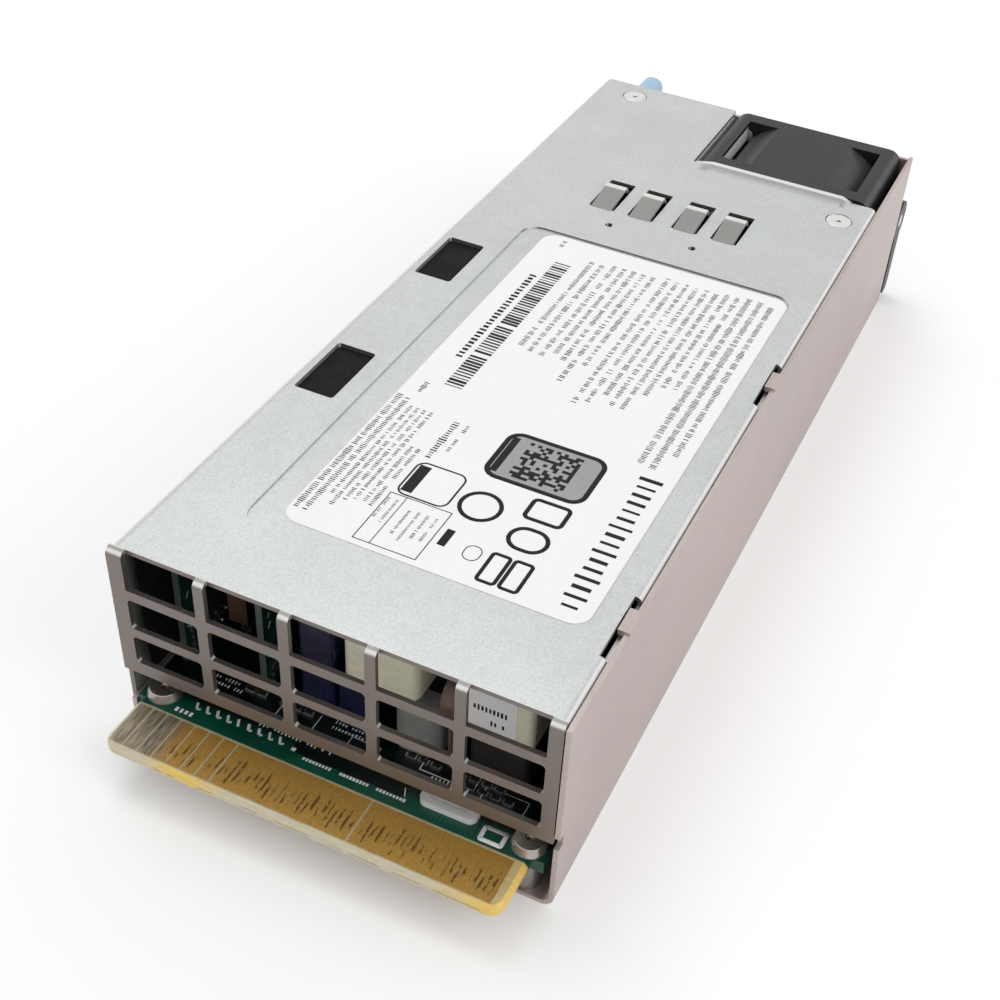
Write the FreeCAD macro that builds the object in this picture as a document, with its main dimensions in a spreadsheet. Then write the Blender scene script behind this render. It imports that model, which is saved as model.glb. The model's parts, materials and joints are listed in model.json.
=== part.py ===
import FreeCAD, Part
import math
import os
from types import SimpleNamespace

import Sketcher

# Hot swap server power supply, in millimetres. X runs across the unit, Y from the card edge
# to the mains end and Z up. The origin is the middle of the bottom face. Front is the grille and
# card edge, rear the mains end. Names say which face of the case a place is counted from.

sizes = {
    # case
    "width": 73.5, "height": 39.0, "length": 185.0, "metal": 0.8, "seam": 0.12,
    "bend": 2.2, "small_bend": 1.2, "wall_top_drop": 0.4, "left_flange": 8.0, "right_flange": 5.0,
    "right_flange_from_rear": 39.6, "cover_foot_gap": 0.3, "panel_top_drop": 0.9,
    "clearance": 0.3, "hook_notch_foot": 13.6, "hook_notch_tall": 2.4, "hook_notch_deep": 1.3,
    # grille
    "grille_relief": 1.3, "grille_left": 0.5, "grille_right": 1.0, "grille_drop": 24.5,
    "window_margin": 3.15, "window_bar": 1.74, "window_columns": 5, "window_corner": 0.7,
    "low_row_drop": 16.5, "middle_row_drop": 8.9, "high_row_drop": 7.1, "low_row_tall": 5.5,
    "middle_row_tall": 5.9,
    # top plate
    "recess_from_left": 13.4, "recess_from_right": 5.7, "recess_from_front": 14.2,
    "recess_from_rear": 70.4, "recess_depth": 0.3, "recess_corner": 3.5,
    "label_from_left": 18.0, "label_from_right": 6.0, "label_from_front": 17.9,
    "label_from_rear": 71.2, "label_thick": 0.1, "label_corner": 3.0,
    "slot_from_left": 2.7, "slot_wide": 7.3, "slot_long": 14.5, "slot_corner": 0.6,
    "first_slot_from_front": 46.5, "second_slot_from_front": 87.7,
    "spring_open_wide": 5.4, "spring_open_long": 12.0, "spring_from_rear": 57.2,
    "spring_wide": 4.3, "spring_rise": 1.4, "spring_nose": 1.6, "spring_dip": 0.4,
    "spring_thick": 0.6, "spring_crest": 8.2, "spring_crest_round": 0.9,
    "spring_from_left": 20.6, "spring_pitch": 8.25, "spring_pair_pitch": 17.6,
    "gauge_hole_radius": 0.75, "gauge_hole_from_left": 27.3, "gauge_hole_pitch": 17.45,
    "gauge_hole_from_rear": 62.7,
    "key_depth": 2.2, "key_fall": 1.6, "key_tab_gap": 0.3,
    "first_key_from_front": 14.0, "second_key_from_front": 79.8, "key_long": 13.1,
    "key_tab_start": 5.8, "key_tab_long": 4.8,
    "lip_left_draw": 3.7, "lip_right_draw": 2.0, "lip_from_fan_right": 4.1, "lip_long": 4.0,
    "lip_rise": 0.75, "insulator_thick": 0.3, "insulator_margin": 1.6,
    "insulator_foot": 11.6,
    "insulator_from_rear": 63.0,
    # cover screws
    "cover_screw_head": 2.7, "cover_screw_radius": 1.45, "cover_screw_long": 2.0,
    "drive_radius": 1.1, "drive_tip": 0.35, "drive_deep": 0.45,
    "left_screw_from_left": 9.75, "left_screw_from_rear": 5.5,
    "right_screw_from_right": 6.6, "right_screw_from_rear": 36.7, "screw_tab_reach": 5.4,
    # main board and card edge
    "board_foot": 6.6, "board_thick": 2.4, "board_margin": 2.1, "board_ear_front": 0.3,
    "board_from_rear": 33.0, "tongue_reach": 10.0, "tongue_from_left": 2.7,
    "tongue_from_right": 4.1, "tongue_corner": 2.4, "tongue_bevel": 0.7,
    "contact_thick": 0.06, "contact_front": 9.1, "contact_back": 1.2, "contact_from_left": 3.6,
    "contact_from_right": 6.0, "contact_pitch": 2.54, "contact_gap": 0.32, "contact_count": 7,
    "board_screw_inset": 5.4, "board_screw_from_front": 2.6, "board_screw_from_rear": 37.5,
    "board_screw_radius": 1.45, "board_screw_head": 2.9, "board_screw_crown": 2.4,
    "board_screw_head_tall": 1.5, "standoff_radius": 2.2, "screw_clearance": 0.12,
    "bore_clearance": 0.05,
    "shunt_from_right": 23.2, "shunt_from_front": 1.4, "shunt_long": 9.4, "shunt_wide": 3.3,
    "shunt_tall": 1.1, "shunt_slot": 1.0,
    # pieces behind the grille
    "daughter_thick": 1.2, "daughter_from_front": 9.5, "control_from_left": 3.7,
    "control_long": 54.0, "control_head": 2.6, "rectifier_from_left": 18.5,
    "rectifier_long": 36.0, "rectifier_head": 1.6,
    "chip_tall": 1.5, "chip_long": 9.0, "chip_wide": 6.0, "chip_pitch": 14.0, "chip_lift": 7.0,
    "chip_count": 3, "chip_start": 3.0,
    "busbar_from_left": 13.6, "busbar_wide": 3.4, "busbar_drop": 8.5, "busbar_tall": 8.0,
    "busbar_long": 34.0,
    "film_from_left": 25.6, "film_wide": 6.1, "film_long": 17.0, "film_head": 3.1,
    "low_film_wide": 5.6, "low_film_long": 8.0, "low_film_tall": 10.2, "film_gap": 0.4,
    "film_corner": 1.0,
    "winding_from_left": 33.2, "winding_wide": 12.6, "winding_long": 32.0, "winding_lift": 11.2,
    "winding_corner": 1.6, "core_yoke": 1.6, "core_side": 2.4, "core_start": 9.0,
    "core_long": 18.0,
    "bead_from_left": 41.6, "bead_wide": 7.6, "bead_long": 5.6, "bead_tall": 6.2,
    "bead_lift": 2.6, "bead_corner": 2.2,
    "limiter_from_left": 49.6, "limiter_thick": 2.2, "limiter_radius": 3.4, "limiter_lift": 13.0,
    "limiter_lead": 0.4,
    "standby_from_left": 53.6, "standby_wide": 11.0, "standby_long": 15.0, "standby_head": 1.0,
    "standby_lift": 10.6, "standby_corner": 1.2, "bobbin_margin": 0.6,
    "header_from_left": 24.0, "header_pins": 6, "header_pitch": 2.54, "header_from_front": 39.0,
    "header_tall": 5.0, "header_wide": 2.4, "header_pin": 0.32,
    "can_radius": 4.0, "can_from_left": 11.5, "can_from_front": 24.0,
    "can_pitch": 9.0, "can_count": 3, "can_to_busbar": 1.5,
    # pieces further in
    "bulk_from_front": 42.0, "bulk_gap": 0.7, "bulk_wall_gap": 3.0, "bulk_groove": 0.8,
    "bulk_groove_from_end": 4.5, "bulk_to_bridge": 2.0,
    "sink_thick": 3.0, "sink_head": 3.6, "sink_fin": 5.0, "sink_fin_thick": 1.0, "sink_fins": 6,
    "primary_sink_from_front": 48.0, "secondary_sink_from_left": 15.5,
    "secondary_sink_from_front": 47.0, "sink_to_choke": 0.5,
    "switch_thick": 4.4, "switch_wide": 8.0, "switch_tall": 15.0, "switch_count": 3,
    "switch_lift": 4.0, "switch_to_bulk": 0.6,
    "bridge_inset": 2.0, "bridge_wide": 22.0, "bridge_long": 4.6, "bridge_tall": 18.0,
    "bridge_from_rear": 99.0,
    "boost_radius": 13.5, "boost_hole": 4.5, "boost_tall": 19.0, "boost_wrap": 2.4,
    "boost_from_left": 17.0, "boost_from_rear": 81.0, "choke_lift": 1.0,
    "filter_radius": 10.5, "filter_hole": 3.6, "filter_tall": 18.0, "filter_wrap": 2.0,
    "filter_from_right": 17.5, "filter_from_rear": 80.0,
    "line_cap_from_left": 7.4, "line_cap_wide": 18.0, "line_cap_long": 9.0,
    "line_cap_tall": 17.0, "line_cap_from_rear": 64.0, "line_cap_pitch": 14.0,
    "earth_cap_from_left": 33.5, "earth_cap_from_rear": 69.0, "earth_cap_pitch": 9.0,
    "earth_cap_radius": 4.0, "earth_cap_thick": 3.4, "box_corner": 0.8,
    "relay_from_right": 25.5, "relay_wide": 18.0, "relay_long": 12.0, "relay_tall": 15.0,
    "relay_from_rear": 63.0,
    "fuse_from_left": 30.0, "fuse_from_rear": 46.0, "fuse_radius": 2.6, "fuse_long": 20.0,
    "fuse_cap": 5.0, "fuse_lift": 4.0, "clip_wall": 0.8,
    # mains inlet
    "inlet_side_gap": 2.15, "inlet_foot": 3.0, "inlet_tab_gap": 0.2, "inlet_rim": 0.7,
    "inlet_lip": 1.4, "inlet_flange_thick": 2.0, "inlet_corner": 2.0, "inlet_deep": 19.0,
    "socket_side_wall": 0.9, "socket_wall": 1.4, "socket_deep": 17.2, "socket_chamfer": 4.6,
    "blade_pitch": 7.0, "blade_wide": 2.0, "blade_tall": 4.0, "blade_offset": 2.0,
    "blade_long": 13.6, "blade_tail": 5.0, "earth_extra": 1.0,
    "lead_radius": 1.1, "lead_bend": 2.6, "lead_land": 2.0,
    # status light
    "light_to_fan": 7.2, "light_drop": 8.4, "light_radius": 1.5, "light_proud": 0.8,
    "light_bend": 4.0, "light_land": 6.2, "diode_wide": 3.4, "diode_tall": 1.4,
    # fan
    "fan_less": 0.8, "fan_lift": 0.5, "fan_deep": 26.8, "fan_side_gap": 1.5, "fan_corner": 3.0,
    "fan_flange": 3.6, "fan_rim": 0.8, "barrel_over": 1.7, "post_wide": 4.15,
    "post_thick": 1.0, "fan_hole_inset": 3.7, "fan_hole_radius": 1.7, "exhaust_inset": 0.8,
    "hub_radius": 9.6, "hub_wall": 1.0, "blade_gap": 0.4, "blades": 7, "blade_chord": 15.0,
    "blade_thick": 0.9, "rotor_deep": 19.5, "rotor_inset": 2.2, "motor_radius": 10.0,
    "motor_plate": 1.8, "strut_wide": 2.4, "coil_radius": 7.6, "coil_gap": 1.2,
    "bearing_radius": 3.0, "shaft_radius": 1.5, "running_gap": 0.05,
    "guard_thick": 0.8, "guard_wide": 1.2, "guard_step": 4.6, "guard_first": 5.0,
    "guard_rings": 3, "guard_eye": 2.9,
    "fan_screw_head": 2.6, "fan_screw_crown": 2.0, "fan_screw_head_tall": 0.9,
    "fan_screw_radius": 1.5, "fan_screw_long": 5.0, "divider_gap": 0.5,
    "divider_from_rear": 31.5, "divider_foot": 3.2,
    "clip_thick": 0.4, "clip_inset": 0.2, "clip_gap": 0.15,
    "plug_from_rear": 40.5, "plug_wide": 8.0, "plug_long": 5.0, "plug_tall": 6.0,
    "fan_lead_inset": 1.6, "fan_lead_drop": 8.5,
    # handle
    "pivot_out": 5.2, "pivot_radius": 1.5, "pivot_head": 2.4, "pivot_head_thick": 0.8,
    "lug_radius": 3.4, "lug_gap": 0.1, "ear_radius": 4.6, "ear_thick": 1.4, "ear_inset": 0.1,
    "arm_thick": 3.4, "arm_deep": 5.2, "arm_start": 3.9, "handle_foot": 1.6, "bar_deep": 4.6,
    "bar_tall": 5.4, "bar_corner": 1.6,
    # latch
    "latch_thick": 0.6, "latch_tall": 8.6, "latch_drop": 4.4, "latch_root_from_rear": 44.0,
    "latch_bend_from_rear": 34.0, "latch_wall_gap": 0.05, "latch_split": 0.06,
    "tooth_from_rear": 14.0, "tooth_long": 7.0, "tooth_out": 2.2, "tooth_slope": 3.2,
    "jog_start_from_rear": 9.0, "jog_end_from_rear": 5.0, "tab_from_left": 7.9,
    "tab_wide": 5.0, "tab_tall": 11.2, "tab_drop": 2.6, "tab_from_rear": 3.0,
    "tab_long": 15.0, "tab_grip": 4.2, "tab_round": 2.2, "tab_travel": 5.2, "tab_play": 0.5,
    "rivet_radius": 1.2, "rivet_head": 2.0, "rivet_head_thick": 0.6, "rivet_pitch": 5.0,
    "rivet_inset": 2.3,
}

root_angle = 50  # blade angles to the plane of rotation, in degrees
tip_angle = 34


class Size:
    """A length with the sheet formula it comes from, so that a feature can be bound to it."""

    def __init__(self, number, formula):
        self.number = float(number)
        self.formula = formula

    def __float__(self):
        return self.number

    def __neg__(self):
        return Size(-self.number, f"(-{self.formula})")

    def __add__(self, other):
        return Size(self.number + float(other), f"({self.formula} + {formula_of(other)})")

    def __radd__(self, other):
        return Size(float(other) + self.number, f"({formula_of(other)} + {self.formula})")

    def __sub__(self, other):
        return Size(self.number - float(other), f"({self.formula} - {formula_of(other)})")

    def __rsub__(self, other):
        return Size(float(other) - self.number, f"({formula_of(other)} - {self.formula})")

    def __mul__(self, other):
        return Size(self.number * float(other), f"({self.formula} * {formula_of(other)})")

    def __rmul__(self, other):
        return self * other

    def __truediv__(self, other):
        return Size(self.number / float(other), f"({self.formula} / {formula_of(other)})")


def formula_of(value):
    return value.formula if isinstance(value, Size) else f"{float(value):.6f}"


doc = FreeCAD.newDocument("PowerSupply")
sheet = doc.addObject("Spreadsheet::Sheet", "Sizes")
for row, (alias, number) in enumerate(sizes.items(), start=1):
    sheet.set(f"A{row}", alias)
    sheet.set(f"B{row}", str(number))
    sheet.setAlias(f"B{row}", alias)
doc.recompute()

d = SimpleNamespace(**{alias: Size(number, f"Sizes.{alias}") for alias, number in sizes.items()})
nodes = {}

# ---- places that several pieces share ----
left, right = -d.width / 2, d.width / 2
front, rear = -d.length / 2, d.length / 2
bottom = d.height * 0
cover_inside_top = d.height - d.metal
cover_right = right - d.metal - d.seam
wall_inside = right - d.metal
flange_left = left + d.metal + d.seam
board_top = d.board_foot + d.board_thick
ceiling = cover_inside_top - d.insulator_thick - d.clearance
room = ceiling - board_top
panel_inside = rear - d.metal

fan_size = d.height - d.fan_less
fan_right = wall_inside - d.fan_side_gap
fan_left = fan_right - fan_size
fan_x, fan_z = fan_right - fan_size / 2, d.metal + d.fan_lift + fan_size / 2
fan_back = panel_inside
fan_front = fan_back - d.fan_deep
fan_bore = fan_size / 2 - d.fan_rim
fan_hole_reach = fan_size / 2 - d.fan_hole_inset
fan_holes = [(fan_x + fan_hole_reach * side, fan_z + fan_hole_reach * rise)
             for side in (-1, 1) for rise in (-1, 1)]
divider_x = fan_left - d.divider_gap - d.metal

cover_screws = [(left + d.left_screw_from_left, rear - d.left_screw_from_rear),
                (right - d.right_screw_from_right, rear - d.right_screw_from_rear)]
screw_tab_top = cover_inside_top - d.screw_clearance
board_x = (left + d.board_margin, right - d.board_margin)
board_back = rear - d.board_from_rear
board_screws = [(x, y) for x in (left + d.board_screw_inset, right - d.board_screw_inset)
                for y in (front + d.board_screw_from_front, rear - d.board_screw_from_rear)]

pivot_y, pivot_z = rear + d.pivot_out, fan_z
handle_right = right - d.ear_inset
handle_left = fan_x * 2 - handle_right

leaf_x = left + d.metal + d.latch_wall_gap
leaf_z = (d.height - d.latch_drop - d.latch_tall, d.height - d.latch_drop)
latch_bend = rear - d.latch_bend_from_rear
rivets = [(rear - d.latch_root_from_rear + d.rivet_inset + d.rivet_pitch * index,
           (leaf_z[0] + leaf_z[1]) / 2) for index in (0, 1)]
tooth = (rear - d.tooth_from_rear, rear - d.tooth_from_rear + d.tooth_long)
tab_x = left + d.tab_from_left
tab_z = (d.height - d.tab_drop - d.tab_tall, d.height - d.tab_drop)

inlet_room = (flange_left + d.metal, divider_x)
inlet_wide = inlet_room[1] - inlet_room[0] - d.inlet_side_gap * 2
inlet_x = (inlet_room[0] + inlet_room[1]) / 2
inlet_flange_z = (d.inlet_foot, tab_z[0] - d.inlet_tab_gap)
inlet_z = (inlet_flange_z[0] + inlet_flange_z[1]) / 2
inlet_tall = inlet_flange_z[1] - inlet_flange_z[0] - d.inlet_lip * 2
light_x, light_z = fan_left - d.light_to_fan, d.height - d.light_drop


# ---- building blocks ----
def bind(item, **formulas):
    """Bind properties, written with __ for a dot, to sizes."""
    for name, value in formulas.items():
        item.setExpression(name.replace("__", "."), formula_of(value))


def part(name, item):
    """Name a finished sub-part, which is then one file."""
    item.Label = name
    nodes[name] = item
    return item


def box(name, x, y, z):
    """A box between pairs of coordinates."""
    item = doc.addObject("Part::Box", name)
    bind(item, Length=x[1] - x[0], Width=y[1] - y[0], Height=z[1] - z[0],
         Placement__Base__x=x[0], Placement__Base__y=y[0], Placement__Base__z=z[0])
    return item


turns = {
    "x": FreeCAD.Rotation(FreeCAD.Vector(0, 1, 0), 90),
    "y": FreeCAD.Rotation(FreeCAD.Vector(1, 0, 0), -90),
    "z": FreeCAD.Rotation(),
}


def rod(name, axis, start, radius, long, end_radius=None):
    """A cylinder, or a cone where an end radius is given, from a start point along an axis."""
    kind = "Part::Cylinder" if end_radius is None else "Part::Cone"
    item = doc.addObject(kind, name)
    item.Placement = FreeCAD.Placement(FreeCAD.Vector(), turns[axis])
    bind(item, Height=long, Placement__Base__x=start[0], Placement__Base__y=start[1],
         Placement__Base__z=start[2])
    if end_radius is None:
        bind(item, Radius=radius)
    else:
        bind(item, Radius1=radius, Radius2=end_radius)
    return item


def cut(name, base, *tools):
    item = doc.addObject("Part::Cut", name)
    item.Base = base
    item.Tool = tools[0] if len(tools) == 1 else group(name + "_tools", *tools)
    return item


def fuse(name, *pieces):
    item = doc.addObject("Part::MultiFuse", name)
    item.Shapes = list(pieces)
    return item


def group(name, *pieces):
    """Separate solids that share one node."""
    item = doc.addObject("Part::Compound", name)
    item.Links = list(pieces)
    return item


def solid(name, shape):
    item = doc.addObject("Part::Feature", name)
    item.Shape = shape
    return item


def body(name):
    return doc.addObject("PartDesign::Body", name)


def origin_part(owner, role):
    return next(item for item in owner.Origin.OriginFeatures if item.Role == role)


def sketch(owner, name, plane, station):
    """A sketch on an origin plane, moved along that plane's world axis to a station.

    Sketches on XY use X and Y, on XZ use X and Z, and on YZ use Y and Z.
    """
    item = owner.newObject("Sketcher::SketchObject", name)
    item.AttachmentSupport = (origin_part(owner, plane + "_Plane"), "")
    item.MapMode = "FlatFace"
    offset = -station if plane == "XZ" else station
    bind(item, AttachmentOffset__Base__z=offset)
    return item


def dimension(item, kind, value, *places):
    """Add a sketch dimension and bind it."""
    index = item.addConstraint(Sketcher.Constraint(kind, *places, float(value)))
    item.setExpression(f"Constraints[{index}]", formula_of(value))


def polygon(item, points):
    """A closed outline whose corners are all dimensioned from the origin."""
    first = item.GeometryCount
    count = len(points)
    for index, (across, up) in enumerate(points):
        end_across, end_up = points[(index + 1) % count]
        start = FreeCAD.Vector(float(across), float(up), 0)
        end = FreeCAD.Vector(float(end_across), float(end_up), 0)
        item.addGeometry(Part.LineSegment(start, end), False)
    for index, (across, up) in enumerate(points):
        item.addConstraint(Sketcher.Constraint(
            "Coincident", first + index, 2, first + (index + 1) % count, 1))
        dimension(item, "DistanceX", across, -1, 1, first + index, 1)
        dimension(item, "DistanceY", up, -1, 1, first + index, 1)


def rectangle(item, across, up):
    polygon(item, [(across[0], up[0]), (across[1], up[0]), (across[1], up[1]), (across[0], up[1])])


def circle(item, across, up, radius):
    centre = FreeCAD.Vector(float(across), float(up), 0)
    index = item.addGeometry(Part.Circle(centre, FreeCAD.Vector(0, 0, 1), float(radius)), False)
    dimension(item, "Radius", radius, index)
    dimension(item, "DistanceX", across, -1, 1, index, 3)
    dimension(item, "DistanceY", up, -1, 1, index, 3)


def rounded(item, across, up, radius):
    """A rectangle with four round corners."""
    first = item.GeometryCount
    low = (float(across[0]), float(up[0]))
    high = (float(across[1]), float(up[1]))
    inset = float(radius)
    corners = [(high[0] - inset, low[1] + inset, -90), (high[0] - inset, high[1] - inset, 0),
               (low[0] + inset, high[1] - inset, 90), (low[0] + inset, low[1] + inset, 180)]
    ends = []
    for centre_x, centre_y, angle in corners:
        arc = Part.ArcOfCircle(
            Part.Circle(FreeCAD.Vector(centre_x, centre_y, 0), FreeCAD.Vector(0, 0, 1), inset),
            math.radians(angle), math.radians(angle + 90))
        ends.append((arc.StartPoint, arc.EndPoint))
        item.addGeometry(arc, False)
    for index in range(4):
        item.addGeometry(Part.LineSegment(ends[index][1], ends[(index + 1) % 4][0]), False)
    for index in range(4):
        line = first + 4 + index
        item.addConstraint(Sketcher.Constraint("Tangent", first + index, 2, line, 1))
        item.addConstraint(Sketcher.Constraint("Tangent", line, 2, first + (index + 1) % 4, 1))
        item.addConstraint(Sketcher.Constraint("Vertical" if index % 2 == 0 else "Horizontal", line))
        if index:
            item.addConstraint(Sketcher.Constraint("Equal", first, first + index))
    dimension(item, "Radius", radius, first)
    dimension(item, "DistanceX", across[1], -1, 1, first + 4, 1)
    dimension(item, "DistanceY", up[1], -1, 1, first + 5, 1)
    dimension(item, "DistanceX", across[0], -1, 1, first + 6, 1)
    dimension(item, "DistanceY", up[0], -1, 1, first + 7, 1)


def pad(owner, outline, thick, flip=False, both=False):
    """Raise a sketch along its plane's normal, which is -Y for XZ sketches."""
    item = owner.newObject("PartDesign::Pad", outline.Name + "_pad")
    item.Profile = outline
    bind(item, Length=thick)
    item.Reversed = flip
    item.SideType = "Symmetric" if both else "One side"
    return item


def pocket(owner, outline, deep, flip=False):
    """Cut a sketch against its plane's normal, which is +Y for XZ sketches."""
    item = owner.newObject("PartDesign::Pocket", outline.Name + "_pocket")
    item.Profile = outline
    bind(item, Length=deep)
    item.Reversed = flip
    return item


def repeat(owner, name, features, axis, step, count):
    """Repeat features along an axis, a step apart."""
    item = owner.newObject("PartDesign::LinearPattern", name)
    item.Originals = features
    item.Direction = (origin_part(owner, axis + "_Axis"), [""])
    bind(item, Length=step * (count - 1), Occurrences=count)
    owner.Tip = item
    return item


def straight_edges(shape, axis, **places):
    """Names of the straight edges along an axis that lie at the given coordinates."""
    found = []
    for index, edge in enumerate(shape.Edges, start=1):
        if edge.Curve.TypeId != "Part::GeomLine":
            continue
        if abs(getattr(edge.tangentAt(edge.FirstParameter), axis)) < 0.999:
            continue
        middle = edge.CenterOfMass
        if all(abs(getattr(middle, name) - float(value)) < 0.01 for name, value in places.items()):
            found.append(f"Edge{index}")
    return found


def fillet(owner, name, radius, choices):
    """Round edges of the body's tip, each chosen by axis and coordinates."""
    doc.recompute()
    tip = owner.Tip
    names = [edge for axis, places in choices for edge in straight_edges(tip.Shape, axis, **places)]
    item = owner.newObject("PartDesign::Fillet", name)
    item.Base = (tip, names)
    bind(item, Radius=radius)
    return item


def block(name, x, y, z, corner):
    """An upright box with four round vertical edges."""
    owner = body(name)
    outline = sketch(owner, name + "_outline", "XY", z[0])
    rounded(outline, x, y, corner)
    pad(owner, outline, z[1] - z[0])
    return owner


def tube(points, radius, bend):
    """A round wire along straight runs joined by tangent arcs."""
    vectors = [FreeCAD.Vector(*(float(value) for value in point)) for point in points]
    edges = []
    start = vectors[0]
    for before, corner, after in zip(vectors, vectors[1:], vectors[2:]):
        into = (before - corner).normalize()
        out = (after - corner).normalize()
        half = into.getAngle(out) / 2
        reach = float(bend) / math.tan(half)
        entry, leave = corner + into * reach, corner + out * reach
        middle = corner + (into + out).normalize() * (float(bend) / math.sin(half) - float(bend))
        edges += [Part.LineSegment(start, entry).toShape(), Part.Arc(entry, middle, leave).toShape()]
        start = leave
    edges.append(Part.LineSegment(start, vectors[-1]).toShape())
    section = Part.Wire(Part.Circle(vectors[0], vectors[1] - vectors[0], float(radius)).toShape())
    return Part.Wire(edges).makePipeShell([section], True, False)


def span(middle, size):
    """The two ends of a size centred on a place."""
    return middle - size / 2, middle + size / 2


# ---- case ----
def lug(owner, name, x):
    """A rounded ear that stands out of the rear panel and carries one handle pivot."""
    foot = sketch(owner, name + "_foot", "YZ", x)
    rectangle(foot, (panel_inside, pivot_y), span(pivot_z, d.lug_radius * 2))
    pad(owner, foot, d.metal)
    end = sketch(owner, name + "_end", "YZ", x)
    circle(end, pivot_y, pivot_z, d.lug_radius)
    pad(owner, end, d.metal)
    bore = sketch(owner, name + "_bore", "YZ", x + d.metal)
    circle(bore, pivot_y, pivot_z, d.pivot_radius)
    pocket(owner, bore, d.metal)


def screw_tab(owner, name, x, y, place):
    """A tab bent in under the cover, drilled for one cover screw."""
    tab = sketch(owner, name, "XY", screw_tab_top)
    rectangle(tab, x, y)
    circle(tab, *place, d.cover_screw_radius + d.bore_clearance)
    pad(owner, tab, d.metal, flip=True)


def key_starts():
    return [front + d.first_key_from_front, front + d.second_key_from_front]


def make_rear_panel(owner):
    panel = sketch(owner, "rear_panel", "XZ", rear)
    panel_top = d.height - d.panel_top_drop
    panel_left, panel_right = flange_left + d.seam, wall_inside - d.seam
    polygon(panel, [
        (flange_left + d.bend, d.metal / 2), (panel_right, d.metal / 2), (panel_right, panel_top),
        (flange_left + d.bend, panel_top), (panel_left, panel_top - d.bend),
        (panel_left, d.left_flange + d.seam), (flange_left + d.bend, d.left_flange + d.seam)])
    circle(panel, fan_x, fan_z, fan_bore - d.exhaust_inset)
    rectangle(panel, span(inlet_x, inlet_wide + d.screw_clearance * 2),
              span(inlet_z, inlet_tall + d.screw_clearance * 2))
    rectangle(panel, (tab_x - d.tab_wide / 2 - d.tab_play, tab_x + d.tab_wide / 2 + d.tab_travel),
              (tab_z[0] - d.tab_play / 2, tab_z[1] + d.tab_play))
    circle(panel, light_x, light_z, d.light_radius + d.bore_clearance)
    for x, z in fan_holes:
        circle(panel, x, z, d.fan_screw_radius + d.screw_clearance)
    pad(owner, panel, d.metal)


def make_chassis():
    """Bottom, right wall, low left flange and rear panel, bent from one sheet."""
    owner = body("chassis")
    wall_top = d.height - d.wall_top_drop
    profile = sketch(owner, "chassis_profile", "XZ", front * 0)
    polygon(profile, [
        (flange_left, bottom), (right, bottom), (right, wall_top), (wall_inside, wall_top),
        (wall_inside, d.metal), (flange_left + d.metal, d.metal),
        (flange_left + d.metal, d.left_flange), (flange_left, d.left_flange)])
    pad(owner, profile, d.length, both=True)
    fillet(owner, "outer_bends", d.bend,
           [("y", {"x": flange_left, "z": 0}), ("y", {"x": right, "z": 0})])
    fillet(owner, "inner_bends", d.bend - d.metal,
           [("y", {"x": flange_left + d.metal, "z": d.metal}), ("y", {"x": wall_inside, "z": d.metal})])
    make_rear_panel(owner)

    notch = sketch(owner, "hook_notch", "YZ", right + d.metal)
    rectangle(notch, (front - d.metal, front + d.hook_notch_deep),
              (d.hook_notch_foot, d.hook_notch_foot + d.hook_notch_tall))
    pocket(owner, notch, d.metal * 3)

    lug(owner, "right_lug", handle_right - d.ear_thick - d.lug_gap - d.metal)
    lug(owner, "left_lug", handle_left + d.ear_thick + d.lug_gap)
    for index, start in enumerate(key_starts()):
        tab = sketch(owner, f"key_tab_{index}", "XY", d.height)
        rectangle(tab, (right - d.key_depth + d.key_tab_gap, right),
                  (start + d.key_tab_start, start + d.key_tab_start + d.key_tab_long))
        pad(owner, tab, d.metal + d.wall_top_drop / 2, flip=True)
    (x, y), (far_x, far_y) = cover_screws
    screw_tab(owner, "left_screw_tab", (flange_left + d.bend, x + d.screw_tab_reach),
              (y - d.screw_tab_reach, rear - d.metal / 2), (x, y))
    screw_tab(owner, "right_screw_tab", (far_x - d.screw_tab_reach, right - d.metal / 2),
              span(far_y, d.screw_tab_reach), (far_x, far_y))
    return part("chassis", owner)


def spring_starts():
    """Left edges of the four contact spring openings, in two pairs."""
    return [left + d.spring_from_left + d.spring_pair_pitch * pair + d.spring_pitch * index
            for pair in (0, 1) for index in (0, 1)]


def make_grille(owner):
    """The front face below the top plate's bend, with three rows of windows."""
    grille_x = (left + d.grille_left, right - d.grille_right)
    face = sketch(owner, "grille_profile", "YZ", grille_x[0])
    polygon(face, [
        (front, d.height - d.grille_drop), (front + d.metal, d.height - d.grille_drop),
        (front + d.metal, cover_inside_top), (front + d.grille_relief, cover_inside_top),
        (front + d.grille_relief, d.height), (front, d.height)])
    pad(owner, face, grille_x[1] - grille_x[0])
    fillet(owner, "front_bend", d.small_bend, [("x", {"y": front, "z": d.height})])
    bars = d.window_bar * (d.window_columns - 1)
    wide = (d.width - d.window_margin * 2 - bars) / d.window_columns
    columns = (left + d.window_margin, left + d.window_margin + wide)
    upper = sketch(owner, "upper_windows", "XZ", front - d.metal)
    rectangle(upper, columns, (d.height - d.high_row_drop, d.height + d.metal))
    upper_cut = pocket(owner, upper, d.metal + d.small_bend)
    lower = sketch(owner, "lower_windows", "XZ", front - d.metal)
    for drop, tall in ((d.low_row_drop, d.low_row_tall), (d.middle_row_drop, d.middle_row_tall)):
        rounded(lower, columns, (d.height - drop - tall, d.height - drop), d.window_corner)
    lower_cut = pocket(owner, lower, d.metal * 3)
    repeat(owner, "window_pattern", [upper_cut, lower_cut], "X", wide + d.window_bar,
           d.window_columns)


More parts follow.
